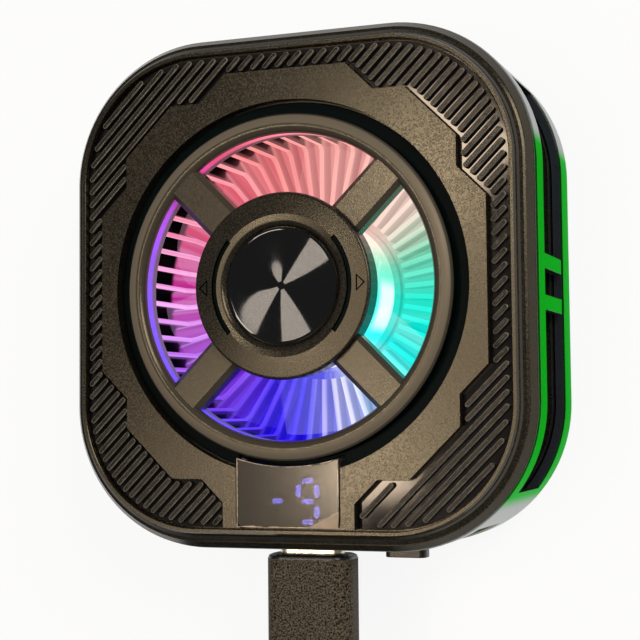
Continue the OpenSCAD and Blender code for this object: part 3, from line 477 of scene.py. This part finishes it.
def makeBoardFinish(look):
    material, shader, place = startFinish("solderMask")
    track = place.make(
        "TexVoronoi", {"feature": "F1", "distance": "MANHATTAN"},
        {"Vector": place, "Scale": look["pitch"], "Randomness": look["trackStray"]})
    pads = place.make(
        "TexVoronoi", {"feature": "F1"},
        {"Vector": place, "Scale": look["pitch"] / 2, "Randomness": look["padStray"]})
    lines = fade(track, *look["trackEdge"])
    bare = 1 - fade(pads, *look["padEdge"])
    haze = speckle(place, look["haze"])
    setShader(shader, {
        "Base Color": tint(bare, tint(lines, look["mask"], look["track"]), look["pad"]),
        "Roughness": look["gloss"] - look["padGloss"] * bare + look["hazeGloss"] * haze,
        "Metallic": bare,
        "Normal": relief(lines, look["relief"] * mm),
    })
    return material


# enamelled wire, turn beside turn
wireLook = {
    "turns": 1500.0, "stray": 1.0, "dark": (0.22, 0.07, 0.02), "light": (0.66, 0.28, 0.10),
    "gloss": 0.24, "hazeGloss": 0.15, "haze": 2400.0, "metal": 0.9, "relief": 0.06,
}


def makeWireFinish(look):
    material, shader, place = startFinish("enamelledWire")
    waves = {"wave_type": "BANDS", "bands_direction": "DIAGONAL"}
    inputs = {"Vector": place, "Scale": look["turns"], "Distortion": look["stray"]}
    turns = place.make("TexWave", waves, inputs, 1)
    setShader(shader, {
        "Base Color": tint(turns, look["dark"], look["light"]),
        "Roughness": look["gloss"] + look["hazeGloss"] * speckle(place, look["haze"]),
        "Metallic": look["metal"],
        "Normal": relief(turns, look["relief"] * mm),
    })
    return material


# turned metal: fine rings round the fan's axis
def makeTurnedFinish(name, look):
    material, shader, place = startFinish(name)
    reach = roundPlace(place)[0]
    rings = reach.maths("SINE", reach * look["rings"]) * 0.5 + 0.5
    haze = speckle(place, look["haze"])
    setShader(shader, {
        "Base Color": tint(rings * 0.5 + haze * 0.5, look["dark"], look["light"]),
        "Roughness": look["gloss"] * (1 + haze),
        "Metallic": look["metal"],
        "Specular IOR Level": look.get("shine", 0.5),
        "Normal": relief(rings * 0.7 + haze * 0.3, look["relief"] * mm),
    })
    return material


coldFace = makeTurnedFinish("turnedAluminium", {
    "rings": 14.0, "haze": 700.0, "dark": (0.52, 0.53, 0.54), "light": (0.70, 0.71, 0.72),
    "gloss": 0.22, "metal": 1.0, "relief": 0.008,
})
badgeGloss = makeTurnedFinish("turnedGlossBlack", {
    "rings": 57.1, "haze": 500.0, "dark": (0.002, 0.002, 0.002), "light": (0.005, 0.0045, 0.004),
    "gloss": 0.022, "metal": 0.0, "relief": 0.0, "shine": 0.4,
})
ribFinish = makeRibFinish(ribLook)
boardFinish = makeBoardFinish(boardLook)
wireFinish = makeWireFinish(wireLook)
print("plain finishes mixed")

# lighting of the fan: colours by their angle from +X, on the fins' edges, in their gaps,
# on the ring; the cup takes those of the edges
ledColours = {
    "edges": [
        (-180, (255, 185, 250)), (-150, (190, 120, 255)), (-125, (115, 80, 255)), (-100, (50, 25, 255)),
        (-82, (235, 230, 255)), (-60, (240, 250, 255)), (-40, (0, 255, 245)), (-5, (0, 252, 225)),
        (18, (130, 232, 195)), (40, (255, 230, 215)), (75, (255, 188, 178)), (115, (252, 152, 150)),
        (150, (255, 180, 205)), (180, (255, 185, 250)),
    ],
    "gaps": [
        (-180, (205, 45, 165)), (-150, (130, 10, 215)), (-120, (30, 0, 235)), (-95, (5, 0, 255)),
        (-76, (150, 160, 255)), (-58, (170, 236, 255)), (-38, (0, 246, 240)), (-5, (0, 238, 208)),
        (20, (110, 215, 180)), (42, (245, 215, 200)), (80, (248, 160, 158)), (115, (240, 112, 122)),
        (150, (232, 58, 95)), (180, (205, 45, 165)),
    ],
    "ring": [
        (-180, (80, 10, 255)), (-110, (20, 0, 255)), (-60, (120, 200, 255)), (-20, (0, 250, 235)),
        (35, (240, 240, 225)), (80, (255, 150, 160)), (120, (225, 30, 100)), (150, (150, 20, 220)),
        (180, (80, 10, 255)),
    ],
}
unlit = (0.0, 0.0, 0.0)


def ledColour(turn, part):
    stops = [((angle + 180) / 360, asSeen(*colour)) for angle, colour in ledColours[part]]
    return turn.make("ValToRGB", {"stops": stops}, {0: turn})


def facingIn(place, reach, span):  # 1 on faces that look up or towards the fan's axis
    way = Wire(place.socket.node.outputs["Normal"])
    spot = inMm(place)
    inwards = (axis(way, "X") * axis(spot, "X") + axis(way, "Y") * axis(spot, "Y")) / reach
    return fade(reach.maths("MAXIMUM", axis(way, "Z"), inwards * -1.0), *span)


# fins: lit as far out as the light gets, less on their sides, in streaks
finGlow = {
    "floor": 8.0, "floorReach": 22.4, "tipReach": 19.4, "litSlope": 0.55, "litEdge": 0.3, "power": 1.0,
    "lowFin": 10.6, "sideShare": 0.62, "sideLoss": 0.42, "sideSpan": (0.2, 1.4), "facing": (0.3, 0.8),
    "deepShare": 0.8, "depth": 2.0, "raisedSpan": (-0.6, -0.1), "raisedPale": 0.45, "gapPale": 0.3,
    "streaks": 95.0, "streakRun": 0.04, "streakSpan": (0.38, 0.62),
    "dark": (0.012, 0.011, 0.012), "light": (0.030, 0.028, 0.030), "shine": 0.15,
    "gloss": 0.30, "hazeGloss": 0.2, "haze": 1500.0,
    "grain": 3000.0, "stretch": (1.0, 1.0, 0.1), "relief": 0.01,
}


def makeFinGlow(look):
    material, shader, place = startFinish("litFins")
    reach, turn, height = roundPlace(place)
    above = height - look["lowFin"]
    streakPlace = turn.make("CombineXYZ", inputs={0: turn * look["streaks"], 1: reach * look["streakRun"]})
    streak = fade(speckle(streakPlace, 1.0, 2.0), *look["streakSpan"])
    slope = look["floorReach"] - look["litSlope"] * (height - look["floor"])
    limit = reach.maths("MAXIMUM", slope, look["tipReach"])
    inside = 1 - fade(reach - limit, -look["litEdge"], look["litEdge"])
    sideShare = look["sideShare"] - look["sideLoss"] * fade(above, *look["sideSpan"])
    shade = sideShare + (1 - sideShare) * facingIn(place, reach, look["facing"])
    depth = look["deepShare"] + (1 - look["deepShare"]) * fade(above, -look["depth"], 0.0)
    raised = fade(above, *look["raisedSpan"])
    raisedPale = look["raisedPale"] + (1 - look["raisedPale"]) * streak
    pale = raised * raisedPale + (1 - raised) * look["gapPale"] * streak
    colour = tint(pale, ledColour(turn, "gaps"), ledColour(turn, "edges"))
    grain = speckle(stretched(place, look["stretch"]), look["grain"])
    setShader(shader, {
        "Base Color": tint(streak, look["dark"], look["light"]),
        "Specular IOR Level": look["shine"],
        "Roughness": look["gloss"] + look["hazeGloss"] * speckle(place, look["haze"]),
        "Emission Color": tint(inside * depth * shade, unlit, colour),
        "Emission Strength": look["power"],
        "Normal": relief(grain, look["relief"] * mm),
    })
    return material


# ring: milky, brightest over its chips
ringGlow = {
    "chips": 12, "dimShare": 0.72, "foot": 21.5, "rise": 0.7, "power": 1.1, "milk": 1200.0,
    "dark": (0.20, 0.19, 0.24), "light": (0.30, 0.29, 0.34), "gloss": 0.34, "milkGloss": 0.2, "relief": 0.004,
}


def makeRingGlow(look):
    material, shader, place = startFinish("litDiffuser")
    turn, height = roundPlace(place)[1:]
    chips = turn.maths("SINE", turn * (2 * math.pi * look["chips"])) * 0.5 + 0.5
    milk = speckle(place, look["milk"])
    bright = look["dimShare"] + (1 - look["dimShare"]) * chips
    lit = fade(height, look["foot"], look["foot"] + look["rise"]) * bright
    setShader(shader, {
        "Base Color": tint(milk, look["dark"], look["light"]),
        "Roughness": look["gloss"] + look["milkGloss"] * milk,
        "Emission Color": tint(lit, unlit, ledColour(turn, "ring")),
        "Emission Strength": look["power"],
        "Normal": relief(milk, look["relief"] * mm),
    })
    return material


# the fan is clear: thin blades and a milky cup with a white glow on one side
fanGlow = {
    "cupReach": 9.5, "bladeEdge": (-0.05, 0.3), "bladeShare": 0.06, "power": 0.9,
    "core": (0.400, 0.435, 0.495, 0.530), "coreHeight": (9.6, 11.4, 14.6, 17.2), "coreColour": (1.0, 1.0, 1.0),
    "dark": (0.14, 0.14, 0.15), "light": (0.20, 0.20, 0.22), "flow": 260.0,
    "gloss": 0.14, "flowGloss": 0.14, "relief": 0.01,
}


def upAndDown(value, spans):
    start, full, ebb, stop = spans
    return fade(value, start, full) * (1 - fade(value, ebb, stop))


def makeClearPlastic(look):
    material, shader, place = startFinish("clearFan")
    reach, turn, height = roundPlace(place)
    flow = speckle(place, look["flow"])
    onBlade = fade(reach - look["cupReach"], *look["bladeEdge"])
    core = upAndDown(turn, look["core"]) * upAndDown(height, look["coreHeight"])
    setShader(shader, {
        "Base Color": tint(flow, look["dark"], look["light"]),
        "Roughness": look["gloss"] + look["flowGloss"] * flow,
        "Alpha": 1.0 + (look["bladeShare"] - 1.0) * onBlade,
        "Emission Color": tint(core, ledColour(turn, "edges"), look["coreColour"]),
        "Emission Strength": look["power"],
        "Normal": relief(flow, look["relief"] * mm),
    })
    return material


dress(makeFinGlow(finGlow), "heat_sink", "motor_base")
dress(makeRingGlow(ringGlow), "light_ring")
dress(makeClearPlastic(fanGlow), "fan_rotor")
print("fan lit")

# side frame: green outside along the sides and the far end, a painted reflection of green light that also
# tints its gloss, bare metal round the corners, dark in the slots
frameLook = {
    "cornerX": 12.2, "cornerY": 13.9, "corner": 17.4, "skin": (0.12, 0.32),
    "sideFrom": (22.5, 24.5), "sideMiddle": -4.5, "sideReach": (20.3, 22.3),
    "endFrom": (24.0, 26.0), "endReach": (14.0, 17.0),
    "green": (0.0006, 0.23, 0.005), "deepGreen": (0.0004, 0.16, 0.006), "sheen": (0.16, 1.0, 0.24),
    "bare": (0.19, 0.21, 0.20), "bareLight": (0.30, 0.32, 0.31),
    "slot": (0.034, 0.034, 0.052), "slotMetal": 0.35,
    "brush": 420.0, "stretch": (1.0, 1.0, 14.0), "gloss": 0.22, "bareGloss": 0.24, "brushGloss": 0.12,
    "relief": 0.002,
}


def makeFrameFinish(look):
    material, shader, place = startFinish("paintedGreenReflection")
    spot = inMm(place)
    x, y = spot.maths("ABSOLUTE", axis(spot, "X")), spot.maths("ABSOLUTE", axis(spot, "Y"))
    across = x.maths("MAXIMUM", x - look["cornerX"], 0.0)
    along = x.maths("MAXIMUM", y - look["cornerY"], 0.0)
    inwards = look["corner"] - x.maths("SQRT", across * across + along * along)
    outside = 1 - fade(inwards, *look["skin"])
    # where the painted green reflection lies: the flat sides and the far end
    fromMiddle = x.maths("ABSOLUTE", axis(spot, "Y") - look["sideMiddle"])
    sides = fade(x, *look["sideFrom"]) * (1 - fade(fromMiddle, *look["sideReach"]))
    farEnd = fade(axis(spot, "Y"), *look["endFrom"]) * (1 - fade(x, *look["endReach"]))
    brush = speckle(stretched(place, look["stretch"]), look["brush"], 3.0, 0.6)
    setShader(shader, {
        "Base Color": tint(outside, look["slot"], tint(brush, look["deepGreen"], look["green"])),
        "Metallic": look["slotMetal"] + (1 - look["slotMetal"]) * outside,
        "Specular Tint": look["sheen"],
        "Roughness": look["gloss"] + look["brushGloss"] * brush,
        "Normal": relief(brush, look["relief"] * mm),
    })
    bare = place.make("BsdfPrincipled", inputs={
        "Base Color": tint(brush, look["bare"], look["bareLight"]),
        "Metallic": 1.0,
        "Roughness": look["bareGloss"] + look["brushGloss"] * brush,
    })
    isBare = outside * (1 - x.maths("MAXIMUM", sides, farEnd))
    showMixed(material, isBare, Wire(shader.outputs[0]), bare)
    return material


cutEdge = grained("cutEdge", {
    "dark": (0.20, 0.18, 0.15), "light": (0.34, 0.31, 0.27), "mottle": 300.0, "grain": 3000.0,
    "gloss": (0.18, 0.30), "relief": 0.002, "metal": 0.8,
})


def atHeight(height):
    return lambda spots: all(abs(s.z - height * mm) < 0.01 * mm for s in spots)


# grille: satin like the panel, a rougher band round the opening painted paler as a painted sheen, a slight
# crown on the hub
grilleLook = {
    "band": (19.25, 19.5), "bandSheenColour": (0.130, 0.108, 0.078), "bandGloss": 0.42,
    "edge": (20.3, 20.45), "edgeGloss": 0.13,
    "hubReach": 11.2, "hubEdge": 0.01, "spokeColour": (0.055, 0.046, 0.034), "spokeShare": 0.8,
    "crown": 8.45, "innerRise": 0.15, "outerFall": 0.10,
    "grooveReach": 20.6, "grooveTop": 23.7,
    "markReach": (7.9, 10.6), "markFoot": (24.6, 25.1), "markTop": 25.2,
}
# near black with almost no gloss and a faint teal: painted shade in the groove round the ring and in the marks
# sunk in the hub, the teal a painted reflection of green light
paintedGrooveShade = grained("paintedGrooveShade", {
    "dark": (0.0006, 0.0022, 0.0022), "light": (0.0016, 0.0055, 0.0052), "mottle": 300.0, "grain": 3600.0,
    "gloss": (0.26, 0.40), "relief": 0.004, "shine": 0.02,
})


def makeGrilleFinish(look, plastic):
    material, shader, place = startFinish("satinGrille")
    reach = roundPlace(place)[0]
    colour, gloss, grain = grainLayers(place, plastic)
    edge = fade(reach, *look["edge"])
    band = fade(reach, *look["band"]) * (1 - edge)
    satinGloss = gloss + (look["bandGloss"] - gloss) * band
    inner = reach.maths("MAXIMUM", look["crown"] - reach, 0.0) * look["innerRise"]
    outer = reach.maths("MAXIMUM", reach - look["crown"], 0.0) * look["outerFall"]
    onSpoke = fade(reach, look["hubReach"], look["hubReach"] + look["hubEdge"])
    crown = (inner + outer) * (1 - onSpoke)
    spokes = tint(onSpoke * look["spokeShare"], colour, look["spokeColour"])
    setShader(shader, {
        # the band's pale colour is a painted sheen
        "Base Color": tint(band, spokes, look["bandSheenColour"]),
        "Roughness": satinGloss + (look["edgeGloss"] - satinGloss) * edge,
        "Specular Tint": plastic["sheen"],
        "Normal": relief(grain * plastic["relief"] * (1 - edge) - crown, mm),
    })
    return material


def inGroove(spots):
    reach, top = grilleLook["grooveReach"] * mm, grilleLook["grooveTop"] * mm
    return all(s.xy.length > reach and s.z < top for s in spots)


def inMark(spots):  # the two arcs and two arrows sunk in the hub
    near, far = grilleLook["markReach"]
    low, high = grilleLook["markFoot"]
    heights = [s.z / mm for s in spots]
    inReach = all(near < s.xy.length / mm < far for s in spots)
    return inReach and low < min(heights) < high and max(heights) < grilleLook["markTop"]


cutSteps = {"edge": 0.1, "steps": 1, "angle": 40, "body": "base", "slot": "frame_metal"}
softened("cutFrame", "side_frame", cutSteps, makeFrameFinish(frameLook), cutEdge)
plasticEdge = {"steps": 2, "body": "base", "slot": "satin_plastic"}
panelEdge = {**plasticEdge, "edge": 0.2, "angle": 32}
softened("mouldedPanel", "face_panel", panelEdge, charcoal, brokenEdge)
# the groove and the sunk marks take the painted shade
grillePaint = {**plasticEdge, "painted": [(inGroove, 1), (inMark, 1)]}
softened("mouldedGrille", "fan_grille", grillePaint, makeGrilleFinish(grilleLook, satin), paintedGrooveShade)
# the rounded edges of the rib crests take the painted highlight
crests = [(atHeight(ribLook["crest"]), ribLook["crestEdge"])]
ribCrest = {**plasticEdge, "picked": crests, "slot": "gloss_black"}
softened("mouldedRibs", "ribbed_inlay", ribCrest, ribFinish, ribEdgeHighlight)
buttonEdge = {"edge": 0.28, "steps": 3, "angle": 50, "body": "button", "slot": "gloss_black"}
softened("mouldedButton", "power_button", buttonEdge, buttonBlack)
padEdge = {"edge": 0.22, "steps": 3, "angle": 50, "body": "base", "slot": "soft_pad"}
softened("padSkin", "contact_pad", padEdge, silicone)
print("housing edges broken")

# badge: a disc turned with fine shallow grooves from its rim to the middle
badge = {
    "segments": 128, "edge": 0.1, "rim": 0.18, "sunk": 0.03,
    "rings": 56, "grooveWidth": 0.11, "slope": 4.5, "smooth": 6,
}


def turnBadge(look):
    low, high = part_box("hub_badge")
    bpy.ops.object.select_all(action="DESELECT")
    bpy.ops.mesh.primitive_cylinder_add(
        vertices=look["segments"], radius=high.x, depth=high.z - low.z, location=(low + high) / 2)
    disc = bpy.context.object
    disc.name = "turnedBadge"
    bpy.ops.object.transform_apply(location=True)
    pickParts(disc, "FACE", lambda spots: min(s.z for s in spots) > high.z - 0.01 * mm)
    bpy.ops.mesh.inset(thickness=look["edge"] * mm, depth=0.0)
    bpy.ops.mesh.inset(thickness=look["rim"] * mm, depth=-look["sunk"] * mm)
    half = look["grooveWidth"] / 2
    fall = half * math.tan(math.radians(look["slope"]))
    for k in range(look["rings"]):
        bpy.ops.mesh.inset(thickness=half * mm, depth=-fall * mm)
        bpy.ops.mesh.inset(thickness=half * mm, depth=fall * mm)
    bpy.ops.object.mode_set(mode="OBJECT")
    coat(disc, badgeGloss)
    pickOnly(disc)
    bpy.ops.object.shade_smooth_by_angle(angle=math.radians(look["smooth"]))
    settle(disc, "base", "gloss_black", "hub_badge")


turnBadge(badge)
print("badge turned")

# display window: smoked, a little hazy; its underside is clear, so light is dimmed once
windowLook = {
    "edge": 0.15, "clearFoot": (0.05, 0.12), "cover": 0.976, "hazeCover": 0.008,
    "haze": 420.0, "dust": 2600.0, "dustSpan": (0.66, 0.74),
    "smoke": (0.030, 0.026, 0.020), "dusty": (0.060, 0.050, 0.040), "gloss": 0.145, "hazeGloss": 0.02,
    "shine": 0.85, "sheen": (1.0, 0.88, 0.70),
    "lean": 0.023,  # in the finish alone, to the left
}


def makeSmokedWindow(look):
    material, shader, place = startFinish("smokedWindow")
    spot = inMm(place)
    haze = speckle(place, look["haze"])
    dust = fade(speckle(place, look["dust"], 2.0, 0.7), *look["dustSpan"])
    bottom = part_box("display_window")[0].z / mm
    smoked = fade(axis(spot, "Z") - bottom, *look["clearFoot"])
    setShader(shader, {
        "Base Color": tint(0.5 * haze + 0.5 * dust, look["smoke"], look["dusty"]),
        "Roughness": look["gloss"] + look["hazeGloss"] * haze,
        "Alpha": smoked * (look["cover"] + look["hazeCover"] * haze),
        "Specular IOR Level": look["shine"],
        "Specular Tint": look["sheen"],
        "Normal": relief(axis(spot, "X") * look["lean"], mm),
    })
    return material


# film: clear on the window, seen along its edges and where one corner peels, its pale colour there a painted
# sheen
filmLook = {
    "halfWidth": 6.42, "nearEnd": -28.4, "ringReach": 21.27, "clear": 0.02, "thick": 0.03, "smooth": 40,
    "columns": 64, "rows": 40,
    "peelFrom": (2.4, -28.4), "peelTo": (6.42, -26.3), "peelLift": 0.12, "peelCurl": 1.5,
    "colour": asSeen(200, 178, 150), "gloss": 0.12, "wrinkleGloss": 0.2, "cover": 0.85,
    "flake": 620.0, "flakeShift": 0.5, "edgeSpan": (0.02, 0.10), "edgeCover": (0.5, 0.5),
    "wrinkle": 500.0, "peelSpan": (0.05, 0.2), "peelCover": (0.35, 0.5),
}


def peelDepth(look, x, y):  # how far a point lies past the fold, in mm
    first, second = Vector(look["peelFrom"]), Vector(look["peelTo"])
    along = (second - first).normalized()
    return (x - first.x) * along.y - (y - first.y) * along.x


def makeFilm(look):
    material, shader, place = startFinish("windowFilm")
    reach = roundPlace(place)[0]
    spot = inMm(place)
    x, y = axis(spot, "X"), axis(spot, "Y")
    sides = look["halfWidth"] - x.maths("ABSOLUTE", x)
    ends = x.maths("MINIMUM", y - look["nearEnd"], reach - look["ringReach"])
    flake = speckle(place, look["flake"], 4.0, 0.6)
    inwards = x.maths("MINIMUM", sides, ends) - look["flakeShift"] * (flake - 0.5)
    edge = 1 - fade(inwards, *look["edgeSpan"])
    peel = fade(peelDepth(look, x, y), *look["peelSpan"])
    wrinkle = speckle(stretched(place, (1.0, -1.0, 0.0)), look["wrinkle"], 1.0)
    (edgeBase, edgeMore), (peelBase, peelMore) = look["edgeCover"], look["peelCover"]
    edgeSeen, peelSeen = edge * (edgeBase + edgeMore * wrinkle), peel * (peelBase + peelMore * wrinkle)
    # the pale colour on the edges and the peeled corner is a painted sheen
    setShader(shader, {
        "Base Color": look["colour"],
        "Roughness": look["gloss"] + look["wrinkleGloss"] * wrinkle,
        "Alpha": look["cover"] * x.maths("MAXIMUM", edgeSeen, peelSeen),
    })
    return material


def layFilm(look):
    bpy.ops.object.select_all(action="DESELECT")
    bpy.ops.mesh.primitive_grid_add(x_subdivisions=look["columns"], y_subdivisions=look["rows"], size=1)
    film = bpy.context.object
    film.name = "windowFilm"
    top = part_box("display_window")[1].z / mm + look["clear"]
    for spot in film.data.vertices:
        x = 2 * spot.co.x * look["halfWidth"]
        far = -math.sqrt(look["ringReach"] ** 2 - x * x)
        y = look["nearEnd"] + (spot.co.y + 0.5) * (far - look["nearEnd"])
        lift = max(0.0, peelDepth(look, x, y)) ** look["peelCurl"] * look["peelLift"]
        spot.co = Vector((x, y, top + lift)) * mm
    shape(film, "SOLIDIFY", {"thickness": look["thick"] * mm, "offset": 1.0})
    coat(film, makeFilm(look))
    pickOnly(film)
    bpy.ops.object.shade_smooth_by_angle(angle=math.radians(look["smooth"]))
    settle(film, "base", "smoked_window")


# segments: bright, as the window lets little through
segmentLook = {
    "colour": (0.17, 0.14, 1.0), "pale": (0.60, 0.56, 1.0), "paleShare": 0.3, "power": 30.0,
    "base": (0.25, 0.22, 0.6), "dots": 1600.0, "gloss": 0.3, "dotGloss": 0.2,
}


def makeSegments(look):
    material, shader, place = startFinish("litSegments")
    dots = speckle(place, look["dots"])
    setShader(shader, {
        "Base Color": look["base"],
        "Roughness": look["gloss"] + look["dotGloss"] * dots,
        "Emission Color": tint(look["paleShare"] * dots, look["colour"], look["pale"]),
        "Emission Strength": look["power"],
    })
    return material


windowEdge = {"edge": windowLook["edge"], "steps": 2, "angle": 40, "body": "base", "slot": "smoked_window"}
softened("smokedWindow", "display_window", windowEdge, makeSmokedWindow(windowLook))
layFilm(filmLook)
dress(makeSegments(segmentLook), "display_segments")
print("display lit")


# the low panel stays out of the polished pieces, which show only the strips
def shadeFrom(lampName, *pieces):
    left = bpy.data.collections.new(lampName + "LeftOut")
    for piece in pieces:
        left.objects.link(bpy.data.objects[piece])
    for entry in left.collection_objects:
        entry.light_linking.link_state = "EXCLUDE"
    bpy.data.objects[lampName].light_linking.receiver_collection = left


shadeFrom("lowPanel", "mouldedRibs", "turnedBadge", "smokedWindow")

# plugs: moulded grips with a smooth collar where the shell comes out
grips = [
    {"name": "socketGrip", "node": "plug_body", "along": 1, "corner": 2.3, "collar": 0.55, "heel": 1.3},
    {"name": "farGrip", "node": "far_plug_body", "along": 0, "corner": 2.3, "collar": 0.6, "heel": 1.6},
]
gripSteps = {"corner": 10, "collar": 2, "heel": 5}


def mouldGrip(look):
    low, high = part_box(look["node"])
    size, way = high - low, look["along"]
    near = 0.05 * mm

    def atEnd(end):
        return lambda spots: all(abs(s[way] - end[way]) < near for s in spots)

    def isLong(spots):
        return abs(spots[0][way] - spots[1][way]) > size[way] / 2

    bpy.ops.object.select_all(action="DESELECT")
    bpy.ops.mesh.primitive_cube_add(size=1, location=(low + high) / 2, scale=size)
    grip = bpy.context.object
    grip.name = look["name"]
    bpy.ops.object.transform_apply(location=True, scale=True)
    coat(grip, plugRubber, collarBlack)
    for part, test, options in (
            ("corner", isLong, {}), ("collar", atEnd(high), {"material": 1}), ("heel", atEnd(low), {})):
        pickParts(grip, "EDGE", test)
        bpy.ops.mesh.bevel(offset=look[part] * mm, segments=gripSteps[part], affect="EDGES", **options)
        bpy.ops.object.mode_set(mode="OBJECT")
    smoothOut(grip)
    return settle(grip, "base", "plug_plastic", look["node"])


gripPieces = [mouldGrip(look) for look in grips]
print("plugs moulded")

# tie: a woven strap round the coil, with its end laid over the top
strap = {
    "edge": 0.12, "tabLength": 8.0, "tabWidth": 4.6, "tabThick": 0.45, "tabEdge": 0.15, "turn": 225,
    "thread": 900.0, "stray": 0.6, "weaveTurn": 45,
    "dark": (0.008, 0.008, 0.009), "light": (0.045, 0.045, 0.05),
    "gloss": 0.75, "hazeGloss": 0.15, "haze": 2000.0, "relief": 0.06,
}


def makeWeave(look):
    material, shader, place = startFinish("wovenStrap")
    angle = math.radians(look["weaveTurn"])
    turned = place.make("VectorRotate", {"rotation_type": "Z_AXIS"}, {"Vector": place, "Angle": angle})
    inputs = {"Vector": turned, "Scale": look["thread"], "Distortion": look["stray"]}
    warp, weft = (turned.make("TexWave", {"wave_type": "BANDS", "bands_direction": letter}, inputs, 1)
                  for letter in "XY")
    thread = warp.maths("MAXIMUM", warp, weft)
    setShader(shader, {
        "Base Color": tint(thread, look["dark"], look["light"]),
        "Roughness": look["gloss"] + look["hazeGloss"] * speckle(place, look["haze"]),
        "Normal": relief(thread, look["relief"] * mm),
    })
    return material


def tieStrap(look):
    low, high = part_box("cable_tie")
    tieEdge = {"edge": look["edge"], "steps": 2, "angle": 50, "body": "base", "slot": "tie_strap"}
    tie = softened("tieStrap", "cable_tie", tieEdge, makeWeave(look))
    middle = (low + high) / 2
    bpy.ops.object.select_all(action="DESELECT")
    bpy.ops.mesh.primitive_cube_add(
        size=1, location=(middle.x, middle.y, high.z + look["tabThick"] / 2 * mm),
        rotation=(0, 0, math.radians(look["turn"])),
        scale=Vector((look["tabLength"], look["tabWidth"], look["tabThick"])) * mm)
    tab = bpy.context.object
    tab.name = "strapEnd"
    bpy.ops.object.transform_apply(location=True, rotation=True, scale=True)
    shape(tab, "BEVEL", {"width": look["tabEdge"] * mm, "segments": 3})
    coat(tab, tie.data.materials[0])
    smoothOut(tab)
    settle(tab, "base", "tie_strap")
    return [tie, tab]


strapPieces = tieStrap(strap)
print("strap tied")

# cable: out of the plug, over to the coil, round and down, out to the far plug
cable = {
    "diameter": 3.2, "leadStart": -57.1, "leadRun": 18.6, "socketHeight": 15.17,
    "leadSag": (0.2, 0.6), "coilLift": 0.3,
    "turns": 8.75, "layers": 4, "stepsPerTurn": 24, "midRadius": 17.5, "turnGap": 0.5, "coilHeight": 2.2,
    "tailRun": 9.0, "tailShares": (0.55, 0.82), "tailLift": 0.4, "farHeight": 4.2, "smooth": 3,
}


def ease(t):
    t = min(1.0, max(0.0, t))
    return t * t * (3 - 2 * t)


def cableRoute(look):
    width, run, tailRun = look["diameter"], look["leadRun"], look["tailRun"]
    step = width + look["turnGap"]
    legTurns = look["turns"] / look["layers"]
    spread = legTurns * step
    outer = look["midRadius"] + spread / 2
    start, high, far = look["leadStart"], look["socketHeight"], look["farHeight"]
    bottom = look["coilHeight"]
    top = bottom + (look["layers"] - 1) * step
    x, y = -outer, start - run  # middle of the coil
    littleSag, sag = look["leadSag"]
    lead = [
        (0, start, high), (0, start - width, high), (0, start - run / 3, high - littleSag),
        (0, start - run / 2, high - sag), (0, y + run / 3, top + look["coilLift"]),
        (0, y + width, top), (0, y, top),
    ]
    coil = [(0, y - width, top)]
    for i in range(1, int(look["turns"] * look["stepsPerTurn"])):
        turns = i / look["stepsPerTurn"]
        leg = math.floor(turns / legTurns)
        part = turns / legTurns - leg
        radius = outer - spread * (part if leg % 2 == 0 else 1 - part)
        fall = sum(ease((turns - k * legTurns) * 2 + 0.5) for k in range(1, look["layers"]))
        angle = -2 * math.pi * turns
        coil.append((x + radius * math.cos(angle), y + radius * math.sin(angle), top - step * fall))
    end, lift = y + outer, look["tailLift"]
    early, late = (x + share * tailRun for share in look["tailShares"])
    tail = [
        (x - width, end, bottom), (x, end, bottom), (x + width, end, bottom), (early, end, bottom + lift),
        (late, end, far - lift), (x + tailRun, end, far), (x + tailRun + width, end, far),
    ]
    return [Vector(p) * mm for p in lead + coil + tail]


def layCable(look):
    route = cableRoute(look)
    curve = bpy.data.curves.new("cable", "CURVE")
    curve.dimensions = "3D"
    spline = curve.splines.new("BEZIER")
    spline.bezier_points.add(len(route) - 1)
    for point, place in zip(spline.bezier_points, route):
        point.co = place
        point.handle_left_type = "AUTO"
        point.handle_right_type = "AUTO"
    spline.resolution_u = look["smooth"]
    curve.bevel_depth = look["diameter"] / 2 * mm
    curve.bevel_resolution = look["smooth"]
    curve.use_fill_caps = True
    curve.materials.append(jacket)
    piece = bpy.data.objects.new("cable", curve)
    scene.collection.objects.link(piece)
    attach(piece, "base")
    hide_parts("cable_lead", "cable_coil", "cable_tail")
    onCable = [nodes[n] for n in ("plug_shell", "plug_boot", "far_plug_boot", "far_plug_shell")]
    onCable + gripPieces + strapPieces


layCable(cable)

dress(charcoal, "front_cover", "rear_cover")
dress(collarBlack, "plug_boot", "far_plug_boot")
dress(shellMetal, "plug_shell", "far_plug_shell")
dress(platedSteel, "stator_core", "fan_shaft", "usb_socket", "tact_switch", "housing_screws", "board_screws")
dress(platedMagnet, "magnet_ring", "rotor_magnet")
dress(sinteredBrass, "bearing_sleeve")
dress(firedCeramic, "peltier_cold_side", "peltier_hot_side")
dress(sawnPellet, "peltier_pellets")
dress(mouldedBlack, "display_module", "control_chips", "socket_tongue")
dress(lightChip, "led_chips")
dress(boardFinish, "led_board", "motor_board", "control_board")
dress(wireFinish, "stator_coils")
dress(coldFace, "cold_plate")
dress(silicone, "insulating_gasket")
print("all pieces dressed")
